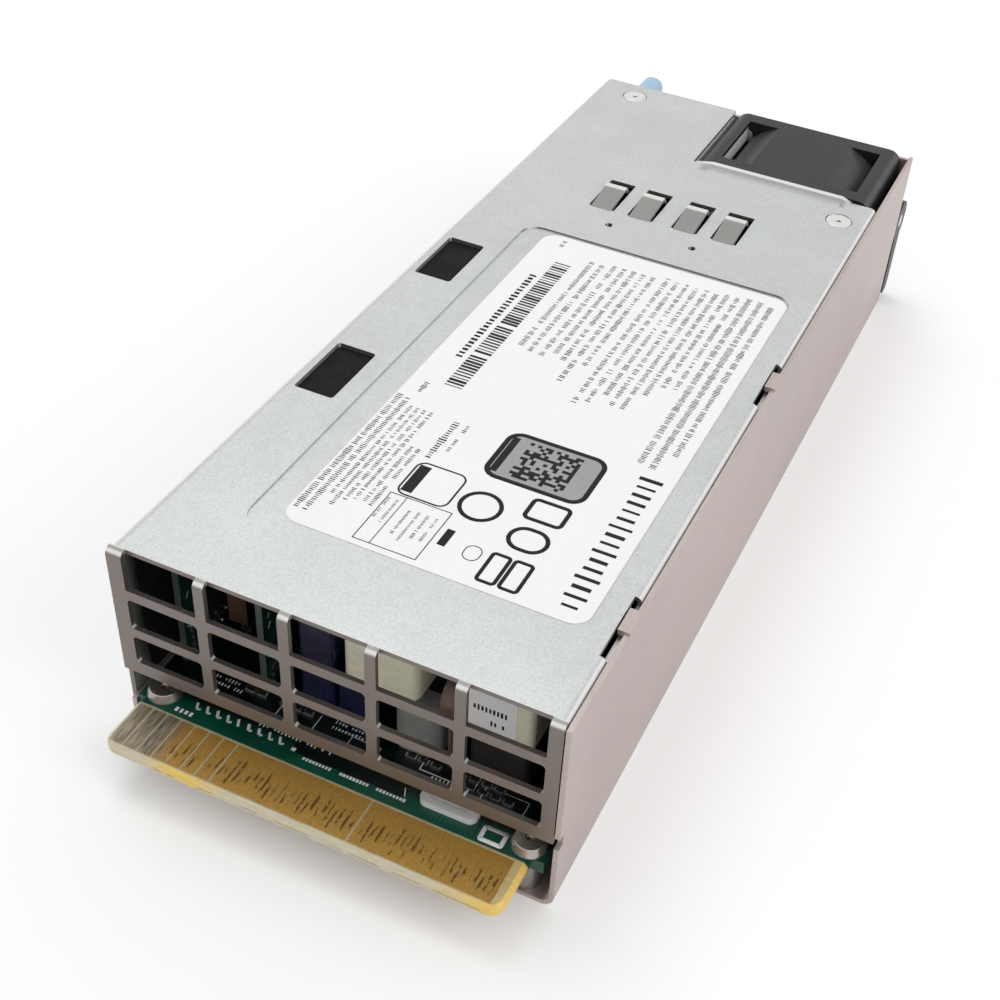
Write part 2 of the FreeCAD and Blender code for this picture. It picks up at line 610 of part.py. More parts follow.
def make_top_openings(owner):
    recess = sketch(owner, "label_recess", "XY", d.height)
    rounded(recess, (left + d.recess_from_left, right - d.recess_from_right),
            (front + d.recess_from_front, rear - d.recess_from_rear), d.recess_corner)
    pocket(owner, recess, d.recess_depth)
    openings = sketch(owner, "top_openings", "XY", d.height + d.metal)
    slot_left = left + d.slot_from_left
    for start in (front + d.first_slot_from_front, front + d.second_slot_from_front):
        rounded(openings, (slot_left, slot_left + d.slot_wide), (start, start + d.slot_long),
                d.slot_corner)
    for index in (0, 1):
        circle(openings, left + d.gauge_hole_from_left + d.gauge_hole_pitch * index,
               rear - d.gauge_hole_from_rear, d.gauge_hole_radius)
    foot = rear - d.spring_from_rear
    for start in spring_starts():
        rectangle(openings, (start, start + d.spring_open_wide), (foot, foot + d.spring_open_long))
    for place in cover_screws:
        circle(openings, *place, d.cover_screw_radius + d.screw_clearance)
    pocket(owner, openings, d.metal * 3)
    seats = sketch(owner, "screw_seats", "XY", d.height + d.metal)
    for place in cover_screws:
        circle(seats, *place, d.cover_screw_head + d.bore_clearance)
    pocket(owner, seats, d.metal * 1.5)
    keyways = sketch(owner, "keyways", "XY", d.height + d.metal)
    for start in key_starts():
        rectangle(keyways, (right - d.key_depth, right), (start, start + d.key_long))
    pocket(owner, keyways, d.metal + d.key_fall)


def make_fan_lip(owner):
    """The plate's edge in front of the fan, pressed up and drawn out level at both ends."""
    flat = (fan_left, fan_right - d.lip_from_fan_right)
    end = fan_front - d.clearance / 2
    start = end - d.lip_long
    well = sketch(owner, "lip_well", "XY", d.height + d.metal)
    rectangle(well, flat, (start, end + d.metal))
    pocket(owner, well, d.metal * 3)
    stations = ((flat[0], bottom), (flat[0] + d.lip_left_draw, d.lip_rise),
                (flat[1] - d.lip_right_draw, d.lip_rise), (flat[1], bottom))
    sections = []
    for index, (x, rise) in enumerate(stations):
        section = sketch(owner, f"lip_section_{index}", "YZ", x)
        polygon(section, [(start, cover_inside_top), (end, cover_inside_top + rise),
                          (end, d.height + rise), (start, d.height)])
        sections.append(section)
    lip = owner.newObject("PartDesign::AdditiveLoft", "lip")
    lip.Profile = sections[0]
    lip.Sections = sections[1:]
    lip.Ruled = True


def make_springs(owner):
    """Contact springs that rise out of the plate to a rounded crest."""
    foot = rear - d.spring_from_rear
    crest, peak = foot + d.spring_crest, d.height + d.spring_rise
    tip, tip_z = crest + d.spring_nose, d.height - d.spring_dip
    root = foot - d.metal / 2
    for index, start in enumerate(spring_starts()):
        outline = sketch(owner, f"spring_{index}", "YZ",
                         start + (d.spring_open_wide - d.spring_wide) / 2)
        polygon(outline, [
            (root, cover_inside_top), (crest, peak - d.spring_thick),
            (tip - d.spring_thick, tip_z - d.spring_thick / 4), (tip, tip_z), (crest, peak),
            (root, d.height)])
        pad(owner, outline, d.spring_wide)
    fillet(owner, "spring_crests", d.spring_crest_round, [("x", {"y": crest, "z": peak})])


def make_cover():
    """Top plate, left wall, short right flange and front grille, bent from one sheet."""
    owner = body("top_cover")
    shell = sketch(owner, "cover_profile", "XZ", front + d.grille_relief)
    flange_foot = d.height - d.right_flange
    polygon(shell, [
        (left, d.cover_foot_gap), (left + d.metal, d.cover_foot_gap),
        (left + d.metal, cover_inside_top), (cover_right - d.metal, cover_inside_top),
        (cover_right - d.metal, flange_foot), (cover_right, flange_foot), (cover_right, d.height),
        (left, d.height)])
    pad(owner, shell, d.length - d.grille_relief, flip=True)
    fillet(owner, "left_bend", d.bend, [("y", {"x": left, "z": d.height})])
    fillet(owner, "left_inner_bend", d.bend - d.metal,
           [("y", {"x": left + d.metal, "z": cover_inside_top})])
    fillet(owner, "right_bend", d.small_bend, [("y", {"x": cover_right, "z": d.height})])
    make_grille(owner)
    make_top_openings(owner)

    well = sketch(owner, "cover_fan_well", "XY", d.height + d.metal)
    rectangle(well, (fan_left - d.clearance * 2, right), (fan_front - d.clearance * 2, rear + d.metal))
    pocket(owner, well, d.right_flange + d.metal * 2)
    relief = sketch(owner, "flange_relief", "XY", cover_inside_top - d.screw_clearance / 2)
    rectangle(relief, (cover_right - d.metal * 2, right), (rear - d.right_flange_from_rear, rear))
    pocket(owner, relief, d.right_flange)
    make_fan_lip(owner)
    make_springs(owner)

    catch = sketch(owner, "tooth_slot", "YZ", left + d.metal * 2)
    gap = d.clearance * 2
    rounded(catch, (tooth[0] - d.tooth_slope - gap, tooth[1] + gap),
            (leaf_z[0] - gap, leaf_z[1] + gap), d.window_corner)
    for y, z in rivets:
        circle(catch, y, z, d.rivet_radius + d.bore_clearance)
    pocket(owner, catch, d.metal * 3)
    return part("top_cover", owner)


def make_label_and_insulator():
    floor = d.height - d.recess_depth
    part("rating_label", block(
        "label_sheet", (left + d.label_from_left, right - d.label_from_right),
        (front + d.label_from_front, rear - d.label_from_rear), (floor, floor + d.label_thick),
        d.label_corner))
    owner = body("insulator")
    outer = (left + d.metal + d.insulator_margin, cover_right - d.metal - d.insulator_margin)
    inner = (outer[0] + d.insulator_thick, outer[1] - d.insulator_thick)
    under = cover_inside_top - d.insulator_thick
    fold = sketch(owner, "insulator_profile", "XZ", front + d.grille_relief + d.bend)
    polygon(fold, [
        (outer[0], d.insulator_foot), (inner[0], d.insulator_foot), (inner[0], under),
        (inner[1], under), (inner[1], d.insulator_foot), (outer[1], d.insulator_foot),
        (outer[1], cover_inside_top), (outer[0], cover_inside_top)])
    pad(owner, fold, d.length - d.grille_relief - d.bend - d.insulator_from_rear, flip=True)
    part("insulator_sheet", owner)


def screw(name, axis, seat, shank, head, drive_floor):
    """A headed screw whose seat point is the underside of its head; lengths run along the axis.

    shank is (radius, length below the seat) and head is (radius, height, crown radius).
    """
    def point(along):
        return tuple(value + along if letter == axis else value
                     for letter, value in zip("xyz", seat))

    blank = fuse(name + "_blank", rod(name + "_head", axis, seat, head[0], head[1], head[2]),
                 rod(name + "_shank", axis, point(-shank[1]), shank[0], shank[1] + head[1] / 2))
    drive = rod(name + "_drive", axis, point(drive_floor), d.drive_tip, d.drive_deep + d.metal,
                d.drive_radius)
    return cut(name, blank, drive)


def make_cover_screws():
    """Screws whose flat heads sink into the cover and hold it to the chassis tabs."""
    seat = d.height - d.metal / 2
    screws = [screw(f"cover_screw_{index}", "z", (x, y, seat), (d.cover_screw_radius, d.cover_screw_long),
                    (d.cover_screw_head, d.metal / 2, d.cover_screw_head - d.drive_tip / 2),
                    d.metal / 2 - d.drive_deep)
              for index, (x, y) in enumerate(cover_screws)]
    return part("cover_screws", group("cover_screw_set", *screws))


# ---- boards ----
def make_main_board():
    """The main circuit board, whose front tongue is the card edge."""
    owner = body("main_board")
    ear = front + d.board_ear_front
    plate = sketch(owner, "board_outline", "XY", d.board_foot)
    rectangle(plate, board_x, (ear, board_back))
    for x, y in board_screws:
        circle(plate, x, y, d.board_screw_radius + d.screw_clearance)
    pad(owner, plate, d.board_thick)
    tongue_x = (left + d.tongue_from_left, right - d.tongue_from_right)
    nose = front - d.tongue_reach
    tongue = sketch(owner, "tongue_outline", "XY", d.board_foot)
    rectangle(tongue, tongue_x, (nose, ear))
    pad(owner, tongue, d.board_thick)
    fillet(owner, "tongue_corners", d.tongue_corner, [("z", {"x": x, "y": nose}) for x in tongue_x])
    doc.recompute()
    tip = owner.Tip
    bevel = owner.newObject("PartDesign::Chamfer", "tongue_bevel")
    bevel.Base = (tip, straight_edges(tip.Shape, "x", y=nose, z=d.board_foot)
                  + straight_edges(tip.Shape, "x", y=nose, z=board_top))
    bind(bevel, Size=d.tongue_bevel)
    return part("main_board", owner)


def make_contacts():
    """Gold fingers and power pads on both faces of the tongue."""
    start = left + d.contact_from_left
    spans = [(start + d.contact_pitch * index, start + d.contact_pitch * (index + 1) - d.contact_gap)
             for index in range(sizes["contact_count"])]
    pads = start + d.contact_pitch * d.contact_count
    pad_wide = (right - d.contact_from_right - pads - d.contact_gap) / 2
    for index in (0, 1):
        low = pads + (pad_wide + d.contact_gap) * index
        spans.append((low, low + pad_wide))
    along = (front - d.contact_front, front - d.contact_back)
    faces = {"top": (board_top, board_top + d.contact_thick),
             "under": (d.board_foot - d.contact_thick, d.board_foot)}
    return part("edge_contacts", group("contact_set", *[
        box(f"{face}_contact_{index}", x, along, z)
        for face, z in faces.items() for index, x in enumerate(spans)]))


def make_board_fixings():
    """Pan head screws through the board into round standoffs."""
    screws, posts = [], []
    head = (d.board_screw_head, d.board_screw_head_tall, d.board_screw_crown)
    for index, (x, y) in enumerate(board_screws):
        screws.append(screw(f"board_screw_{index}", "z", (x, y, board_top),
                            (d.board_screw_radius, board_top - d.metal * 2), head,
                            d.board_screw_head_tall - d.drive_deep))
        post = rod(f"post_{index}", "z", (x, y, d.metal), d.standoff_radius, d.board_foot - d.metal)
        bore = rod(f"post_bore_{index}", "z", (x, y, d.metal * 1.5),
                   d.board_screw_radius + d.bore_clearance, d.board_foot)
        posts.append(cut(f"standoff_{index}", post, bore))
    part("board_screws", group("board_screw_set", *screws))
    part("board_standoffs", group("standoff_set", *posts))


def on_board(name, x, y, tall, corner=None, lift=bottom):
    """A box-shaped piece that stands on the main board."""
    z = (board_top + lift, board_top + lift + tall)
    return box(name, x, y, z) if corner is None else block(name, x, y, z, corner)


def make_daughter_boards():
    """Two upright boards seen edge-on behind the grille, their chips and the output busbar."""
    start = front + d.daughter_from_front
    chips = []
    for name, place, long, head in (
            ("control_board", d.control_from_left, d.control_long, d.control_head),
            ("rectifier_board", d.rectifier_from_left, d.rectifier_long, d.rectifier_head)):
        x = left + place
        face = x + d.daughter_thick
        part(name, on_board(name + "_plate", (x, face), (start, start + long), room - head))
        for index in range(sizes["chip_count"]):
            low = start + d.chip_start + d.chip_pitch * index
            chips.append(on_board(f"{name}_chip_{index}", (face, face + d.chip_tall),
                                  (low, low + d.chip_long), d.chip_wide, lift=d.chip_lift))
    part("control_chips", group("chip_set", *chips))
    bar_x = left + d.busbar_from_left
    bar_top = d.height - d.busbar_drop
    part("output_busbar", box("busbar", (bar_x, bar_x + d.busbar_wide),
                              (start, start + d.busbar_long), (bar_top - d.busbar_tall, bar_top)))


def make_front_capacitors():
    """Two film capacitors behind the grille and a row of output capacitors."""
    x = left + d.film_from_left
    low_x = x + d.film_wide + d.film_gap
    y = front + d.daughter_from_front
    tall = on_board("tall_film", (x, x + d.film_wide), (y, y + d.film_long), room - d.film_head,
                    d.film_corner)
    low = on_board("low_film", (low_x, low_x + d.low_film_wide), (y, y + d.low_film_long),
                   d.low_film_tall, d.film_corner)
    part("film_capacitors", group("film_set", tall, low))
    can_y = front + d.can_from_front
    can_tall = d.height - d.busbar_drop - d.busbar_tall - d.can_to_busbar - board_top
    part("output_capacitors", group("can_set", *[
        rod(f"can_{index}", "z", (left + d.can_from_left, can_y + d.can_pitch * index, board_top),
            d.can_radius, can_tall) for index in range(sizes["can_count"])]))


def make_transformer():
    """The main transformer: a taped winding through its ferrite core."""
    start = front + d.daughter_from_front
    coil_x = (left + d.winding_from_left, left + d.winding_from_left + d.winding_wide)
    coil_y = (start, start + d.winding_long)
    coil_z = (board_top + d.winding_lift, ceiling - d.core_yoke)
    part("transformer_winding", block("winding", coil_x, coil_y, coil_z, d.winding_corner))
    core_y = (start + d.core_start, start + d.core_start + d.core_long)
    iron = box("core_block", (coil_x[0] - d.core_side / 2, coil_x[1] + d.core_side), core_y,
               (board_top, ceiling))
    window = box("core_window", coil_x, coil_y, coil_z)
    part("transformer_core", cut("core", iron, window))


def make_small_front_pieces():
    """A bead of silicone on the board and the surge limiter's disc beside it."""
    start = front + d.daughter_from_front
    bead_x = left + d.bead_from_left
    part("silicone_bead", on_board(
        "bead", (bead_x, bead_x + d.bead_wide), (start, start + d.bead_long),
        d.bead_tall + d.bead_lift, d.bead_corner))
    disc_x, disc_y = left + d.limiter_from_left, start + d.limiter_radius
    disc = rod("limiter_disc", "x", (disc_x, disc_y, board_top + d.limiter_lift), d.limiter_radius,
               d.limiter_thick)
    legs = [rod(f"limiter_leg_{index}", "z", (disc_x + d.limiter_thick / 2, y, board_top),
                d.limiter_lead, d.limiter_lift)
            for index, y in enumerate(span(disc_y, d.limiter_radius))]
    part("surge_limiter", fuse("limiter", disc, *legs))


def make_standby_transformer():
    start = front + d.daughter_from_front
    x = (left + d.standby_from_left, left + d.standby_from_left + d.standby_wide)
    y = (start, start + d.standby_long)
    part("standby_transformer", on_board(
        "standby", x, y, room - d.standby_head - d.standby_lift, d.standby_corner, d.standby_lift))
    part("standby_bobbin", on_board(
        "bobbin", (x[0] + d.bobbin_margin, x[1] - d.bobbin_margin),
        (y[0] + d.bobbin_margin, y[1] - d.bobbin_margin), d.standby_lift, d.standby_corner))


def make_header_and_shunt():
    """A pin header on the board and the slotted current shunt at its front edge."""
    x, y = left + d.header_from_left, front + d.header_from_front
    half = d.header_pitch / 2
    strip = on_board("header_strip", (x - half, x + d.header_pitch * d.header_pins - half),
                     (y, y + d.header_wide), d.header_wide)
    pins = [rod(f"header_pin_{index}", "z",
                (x + d.header_pitch * index, y + d.header_wide / 2, board_top), d.header_pin,
                d.header_tall) for index in range(sizes["header_pins"])]
    part("pin_header", fuse("header", strip, *pins))
    x, y = right - d.shunt_from_right, front + d.shunt_from_front
    bar = on_board("shunt_bar", (x, x + d.shunt_long), (y, y + d.shunt_wide), d.shunt_tall,
                   d.shunt_wide / 2.5)
    slot = box("shunt_groove", (x + d.shunt_wide / 2, x + d.shunt_long - d.shunt_wide / 2),
               span(y + d.shunt_wide / 2, d.shunt_slot),
               (board_top + d.shunt_tall / 2, board_top + d.shunt_tall * 2))
    part("sense_shunt", cut("shunt", bar, slot))


# ---- pieces further in ----
bulk_radius = room / 2 - d.bulk_gap
bulk_x = wall_inside - d.bulk_wall_gap - bulk_radius
bridge_y = rear - d.bridge_from_rear
boost_y = rear - d.boost_from_rear


def make_bulk_capacitor():
    """A large can on its side with a rolled groove near one end."""
    y, z = front + d.bulk_from_front, board_top + room / 2
    long = bridge_y - d.bulk_to_bridge - y
    can = rod("bulk_can", "y", (bulk_x, y, z), bulk_radius, long)
    groove_y = y + long - d.bulk_groove_from_end
    outer = rod("groove_outer", "y", (bulk_x, groove_y, z), bulk_radius + d.metal, d.bulk_groove * 2)
    inner = rod("groove_inner", "y", (bulk_x, groove_y - d.metal, z), bulk_radius - d.bulk_groove,
                d.bulk_groove * 2 + d.metal * 2)
    part("bulk_capacitor", cut("bulk", can, cut("bulk_ring", outer, inner)))


def make_heatsinks():
    """Two finned plates, each with a row of power switches on its flat side."""
    long = boost_y - d.boost_radius - d.sink_to_choke - (front + d.secondary_sink_from_front)
    tall = room - d.sink_head
    pitch = long / d.switch_count
    primary_x = bulk_x - bulk_radius - d.switch_to_bulk - d.switch_thick - d.sink_thick
    switches = []
    for name, x, y in (
            ("primary_heatsink", primary_x, front + d.primary_sink_from_front),
            ("secondary_heatsink", left + d.secondary_sink_from_left,
             front + d.secondary_sink_from_front)):
        plate = on_board(name + "_plate", (x, x + d.sink_thick), (y, y + long), tall)
        step = (long - d.sink_fin_thick) / (d.sink_fins - 1)
        fins = [on_board(f"{name}_fin_{index}", (x - d.sink_fin, x),
                         (y + step * index, y + step * index + d.sink_fin_thick), tall)
                for index in range(sizes["sink_fins"])]
        part(name, fuse(name + "_body", plate, *fins))
        face = x + d.sink_thick
        for index in range(sizes["switch_count"]):
            middle = y + pitch * (index + 0.5)
            switches.append(on_board(
                f"{name}_switch_{index}", (face, face + d.switch_thick),
                span(middle, d.switch_wide), d.switch_tall, lift=d.switch_lift))
    part("power_switches", group("switch_set", *switches))


def toroid(name, x, y, radius, hole, tall, wrap):
    """A ring core and the winding wrapped round it, as two nodes."""
    foot = board_top + d.choke_lift

    def ring(label):
        outer = rod(label + "_outer", "z", (x, y, foot + wrap), radius - wrap, tall - wrap * 2)
        inner = rod(label + "_inner", "z", (x, y, foot), hole + wrap, tall)
        return cut(label, outer, inner)

    wire = rod(name + "_wire_outer", "z", (x, y, foot), radius, tall)
    eye = rod(name + "_wire_inner", "z", (x, y, foot - wrap), hole, tall + wrap * 2)
    part(name + "_core", ring(name + "_ring"))
    part(name + "_winding", cut(name + "_wire", wire, eye, ring(name + "_seat")))


def make_chokes():
    toroid("boost_choke", left + d.boost_from_left, boost_y, d.boost_radius, d.boost_hole,
           d.boost_tall, d.boost_wrap)
    toroid("filter_choke", right - d.filter_from_right, rear - d.filter_from_rear, d.filter_radius,
           d.filter_hole, d.filter_tall, d.filter_wrap)


def make_line_pieces():
    """Bridge rectifier, line and earth capacitors and the inrush relay."""
    x = bulk_x - bulk_radius + d.bridge_inset
    part("bridge_rectifier", on_board("bridge", (x, x + d.bridge_wide),
                                      (bridge_y, bridge_y + d.bridge_long), d.bridge_tall))
    x, y = left + d.line_cap_from_left, rear - d.line_cap_from_rear
    part("line_capacitors", group("line_cap_set", *[
        on_board(f"line_cap_{index}", (x, x + d.line_cap_wide),
                 (y + d.line_cap_pitch * index, y + d.line_cap_pitch * index + d.line_cap_long),
                 d.line_cap_tall, d.box_corner) for index in (0, 1)]))
    x, y = left + d.earth_cap_from_left, rear - d.earth_cap_from_rear
    part("earth_capacitors", group("earth_cap_set", *[
        rod(f"earth_cap_{index}", "x", (x, y + d.earth_cap_pitch * index, board_top + d.earth_cap_radius),
            d.earth_cap_radius, d.earth_cap_thick) for index in (0, 1)]))
    x, y = right - d.relay_from_right, rear - d.relay_from_rear
    part("inrush_relay", on_board("relay", (x, x + d.relay_wide), (y, y + d.relay_long),
                                  d.relay_tall, d.box_corner))


def make_fuse():
    x, y = left + d.fuse_from_left, rear - d.fuse_from_rear
    z = board_top + d.fuse_lift
    part("mains_fuse", rod("fuse_body", "x", (x, y, z), d.fuse_radius, d.fuse_long))
    clips = []
    for index, low in enumerate((x, x + d.fuse_long - d.fuse_cap)):
        clip = box(f"clip_block_{index}", (low, low + d.fuse_cap),
                   span(y, (d.fuse_radius + d.clip_wall) * 2), (board_top, z + d.fuse_radius / 2))
        seat = rod(f"clip_seat_{index}", "x", (low - d.metal, y, z), d.fuse_radius + d.bore_clearance,
                   d.fuse_cap + d.metal * 2)
        clips.append(cut(f"fuse_clip_{index}", clip, seat))
    part("fuse_clips", group("clip_set", *clips))


# ---- mains inlet and status light ----
def blade_places():
    """Live, earth and neutral blades; the earth blade sits higher between the others."""
    return [(inlet_x - d.blade_pitch, inlet_z - d.blade_offset), (inlet_x, inlet_z + d.blade_offset),
            (inlet_x + d.blade_pitch, inlet_z - d.blade_offset)]


def make_inlet():
    """A three blade mains inlet whose socket has two chamfered corners."""
    owner = body("mains_inlet")
    flange = sketch(owner, "inlet_flange", "XZ", rear)
    rounded(flange, span(inlet_x, inlet_wide + d.inlet_rim * 2), inlet_flange_z, d.inlet_corner)
    pad(owner, flange, d.inlet_flange_thick, flip=True)
    back = sketch(owner, "inlet_body", "XZ", rear)
    rectangle(back, span(inlet_x, inlet_wide), span(inlet_z, inlet_tall))
    pad(owner, back, d.inlet_deep)
    mouth = rear + d.inlet_flange_thick
    socket = sketch(owner, "socket", "XZ", mouth)
    low_x, high_x = span(inlet_x, inlet_wide - d.socket_side_wall * 2)
    low_z, high_z = span(inlet_z, inlet_tall - d.socket_wall * 2)
    polygon(socket, [
        (low_x, low_z), (high_x, low_z), (high_x, high_z - d.socket_chamfer),
        (high_x - d.socket_chamfer, high_z), (low_x + d.socket_chamfer, high_z),
        (low_x, high_z - d.socket_chamfer)])
    pocket(owner, socket, d.socket_deep, flip=True)
    floor = mouth - d.socket_deep
    holes = sketch(owner, "blade_holes", "XZ", floor + d.metal)
    for x, z in blade_places():
        rectangle(holes, span(x, d.blade_wide), span(z, d.blade_tall))
    pocket(owner, holes, d.inlet_deep, flip=True)
    part("mains_inlet", owner)
    tail = rear - d.inlet_deep - d.blade_tail
    part("inlet_blades", group("blade_set", *[
        box(f"blade_{index}", span(x, d.blade_wide),
            (tail, floor + d.blade_long + (d.earth_extra if index == 1 else bottom)),
            span(z, d.blade_tall)) for index, (x, z) in enumerate(blade_places())]))
    land = board_back - d.lead_land
    part("inlet_leads", solid("lead_set", Part.Compound([
        tube([(x, tail, z), (x, land, z), (x, land, board_top)], d.lead_radius, d.lead_bend)
        for x, z in blade_places()])))


def make_status_light():
    """A light pipe from the rear panel down to a diode on the main board."""
    land = board_back - d.light_land
    part("status_diode", on_board("diode", span(light_x, d.diode_wide), span(land, d.diode_wide),
                                  d.diode_tall))
    part("light_pipe", solid("pipe", tube(
        [(light_x, rear + d.light_proud, light_z), (light_x, land, light_z),
         (light_x, land, board_top + d.diode_tall)], d.light_radius, d.light_bend)))


# ---- fan ----
rotor_front = fan_front + d.rotor_inset
motor_face = fan_back - d.motor_plate


def make_fan_frame():
    """Square flanges, corner posts and a barrel that the square cuts flat, with the motor plate."""
    owner = body("fan_frame")
    x, z = span(fan_x, fan_size), span(fan_z, fan_size)
    posts = sketch(owner, "posts", "XZ", fan_front)
    rounded(posts, x, z, d.fan_corner)
    rounded(posts, span(fan_x, fan_size - d.post_thick * 2), span(fan_z, fan_size - d.post_thick * 2),
            d.fan_corner - d.post_thick)
    pad(owner, posts, d.fan_deep, flip=True)
    between = (fan_front + d.fan_flange, fan_back - d.fan_flange)
    open_size = fan_size - d.post_wide * 2
    top_gap = sketch(owner, "top_gap", "XY", z[1] + d.metal)
    rectangle(top_gap, span(fan_x, open_size), between)
    pocket(owner, top_gap, fan_size + d.metal * 2)
    side_gap = sketch(owner, "side_gap", "YZ", x[1] + d.metal)
    rectangle(side_gap, between, span(fan_z, open_size))
    pocket(owner, side_gap, fan_size + d.metal * 2)
    for name, start in (("front_flange", fan_front), ("back_flange", fan_back - d.fan_flange)):
        outline = sketch(owner, name, "XZ", start)
        rounded(outline, x, z, d.fan_corner)
        circle(outline, fan_x, fan_z, fan_bore)
        pad(owner, outline, d.fan_flange, flip=True)
    barrel = sketch(owner, "barrel", "XZ", fan_front)
    circle(barrel, fan_x, fan_z, fan_bore)
    circle(barrel, fan_x, fan_z, fan_size / 2 + d.barrel_over)
    pad(owner, barrel, d.fan_deep, flip=True)
    trim = sketch(owner, "barrel_trim", "XZ", fan_front - d.metal)
    beyond = fan_size + d.barrel_over * 4
    rectangle(trim, span(fan_x, beyond), span(fan_z, beyond))
    rounded(trim, x, z, d.fan_corner)
    pocket(owner, trim, d.fan_deep + d.metal * 2)
    bores = sketch(owner, "screw_bores", "XZ", fan_front - d.metal)
    for place in fan_holes:
        circle(bores, *place, d.fan_hole_radius)
    pocket(owner, bores, d.fan_deep + d.metal * 2)
    plate = sketch(owner, "motor_plate", "XZ", motor_face)
    circle(plate, fan_x, fan_z, d.motor_radius)
    pad(owner, plate, d.motor_plate, flip=True)
    long = (fan_bore + d.fan_rim / 2) * 2
    for name, wide, tall in (("level_struts", long, d.strut_wide), ("upright_struts", d.strut_wide, long)):
        struts = sketch(owner, name, "XZ", motor_face)
        rectangle(struts, span(fan_x, wide), span(fan_z, tall))
        pad(owner, struts, d.motor_plate, flip=True)
    return part("fan_frame", owner)


def make_fan_motor():
    """Bearing sleeve and coil, fixed to the motor plate, and the shaft that turns in them."""
    def ring(name, start, radius, hole):
        outer = rod(name + "_outer", "y", (fan_x, start, fan_z), radius, motor_face - start)
        bore = rod(name + "_bore", "y", (fan_x, start - d.metal, fan_z), hole, d.fan_deep)
        return cut(name, outer, bore)

    bearing_front = rotor_front + d.hub_wall + d.clearance
    part("fan_bearing", ring("bearing", bearing_front, d.bearing_radius,
                             d.shaft_radius + d.running_gap))
    part("fan_stator", ring("stator", bearing_front + d.coil_gap, d.coil_radius, d.bearing_radius))
    shaft_front = rotor_front + d.hub_wall
    part("fan_shaft", rod("shaft", "y", (fan_x, shaft_front, fan_z), d.shaft_radius,
                          motor_face - shaft_front - d.clearance))


def blade_section(radius, angle):
    """A thin closed section across one blade, at a radius from the axis and an angle to the disc."""
    chord, thick = float(d.blade_chord), float(d.blade_thick)
    along, around = math.sin(math.radians(angle)), math.cos(math.radians(angle))
    corners = [FreeCAD.Vector(run * chord / 2 * around - side * thick / 2 * along,
                              run * chord / 2 * along + side * thick / 2 * around, float(radius))
               for run, side in ((-1, -1), (1, -1), (1, 1), (-1, 1))]
    return Part.makePolygon(corners + corners[:1])


def make_impeller():
    """A cup-shaped hub with twisted blades, trimmed to the tip circle."""
    deep, wall = float(d.rotor_deep), float(d.hub_wall)
    along = FreeCAD.Vector(0, 1, 0)
    face = FreeCAD.Vector(0, -deep / 2, 0)
    hub = Part.makeCylinder(float(d.hub_radius), deep, face, along)
    front_rim = min(hub.Edges, key=lambda edge: edge.CenterOfMass.y)
    hub = hub.makeFillet(wall, [front_rim])
    hollow = Part.makeCylinder(float(d.hub_radius) - wall, deep, face + along * wall, along)
    reach = float(fan_bore - d.blade_gap)
    blade = Part.makeLoft([blade_section(d.hub_radius - d.hub_wall / 2, root_angle),
                           blade_section(reach + wall, tip_angle)], True, True)
    blade = blade.common(Part.makeCylinder(reach, deep, face, along))
    count = sizes["blades"]
    fan = hub.fuse([blade.rotated(FreeCAD.Vector(), along, 360 / count * index)
                    for index in range(count)])
    item = solid("impeller_shape", fan.cut(hollow))
    middle = rotor_front + d.rotor_deep / 2
    item.Placement = FreeCAD.Placement(
        FreeCAD.Vector(float(fan_x), float(middle), float(fan_z)), FreeCAD.Rotation())
    return part("fan_impeller", item)


def make_fan_guard():
    """A stamped guard: flat rings on two crossed straps, with an eye at each screw."""
    owner = body("fan_guard")
    half = d.guard_wide / 2
    for index in range(sizes["guard_rings"]):
        middle = d.guard_first + d.guard_step * index
        ring = sketch(owner, f"guard_ring_{index}", "XZ", rear)
        circle(ring, fan_x, fan_z, middle - half)
        circle(ring, fan_x, fan_z, middle + half)
        pad(owner, ring, d.guard_thick, flip=True)
    slant = half * math.sqrt(0.5)
    reach = fan_hole_reach - d.guard_eye / 2
    for index, side in enumerate((1, -1)):
        strap = sketch(owner, f"guard_strap_{index}", "XZ", rear)
        polygon(strap, [(fan_x - (reach - slant) * side, fan_z - reach - slant),
                        (fan_x + (reach + slant) * side, fan_z + reach - slant),
                        (fan_x + (reach - slant) * side, fan_z + reach + slant),
                        (fan_x - (reach + slant) * side, fan_z - reach + slant)])
        pad(owner, strap, d.guard_thick, flip=True)
    for index, place in enumerate(fan_holes):
        eye = sketch(owner, f"guard_eye_{index}", "XZ", rear)
        circle(eye, *place, d.guard_eye)
        circle(eye, *place, d.fan_screw_radius + d.screw_clearance)
        pad(owner, eye, d.guard_thick, flip=True)
    return part("fan_guard", owner)


def make_fan_screws():
    head = (d.fan_screw_head, d.fan_screw_head_tall, d.fan_screw_crown)
    return part("fan_screws", group("fan_screw_set", *[
        screw(f"fan_screw_{index}", "y", (x, rear + d.guard_thick, z),
              (d.fan_screw_radius, d.fan_screw_long), head, d.fan_screw_head_tall - d.drive_deep)
        for index, (x, z) in enumerate(fan_holes)]))


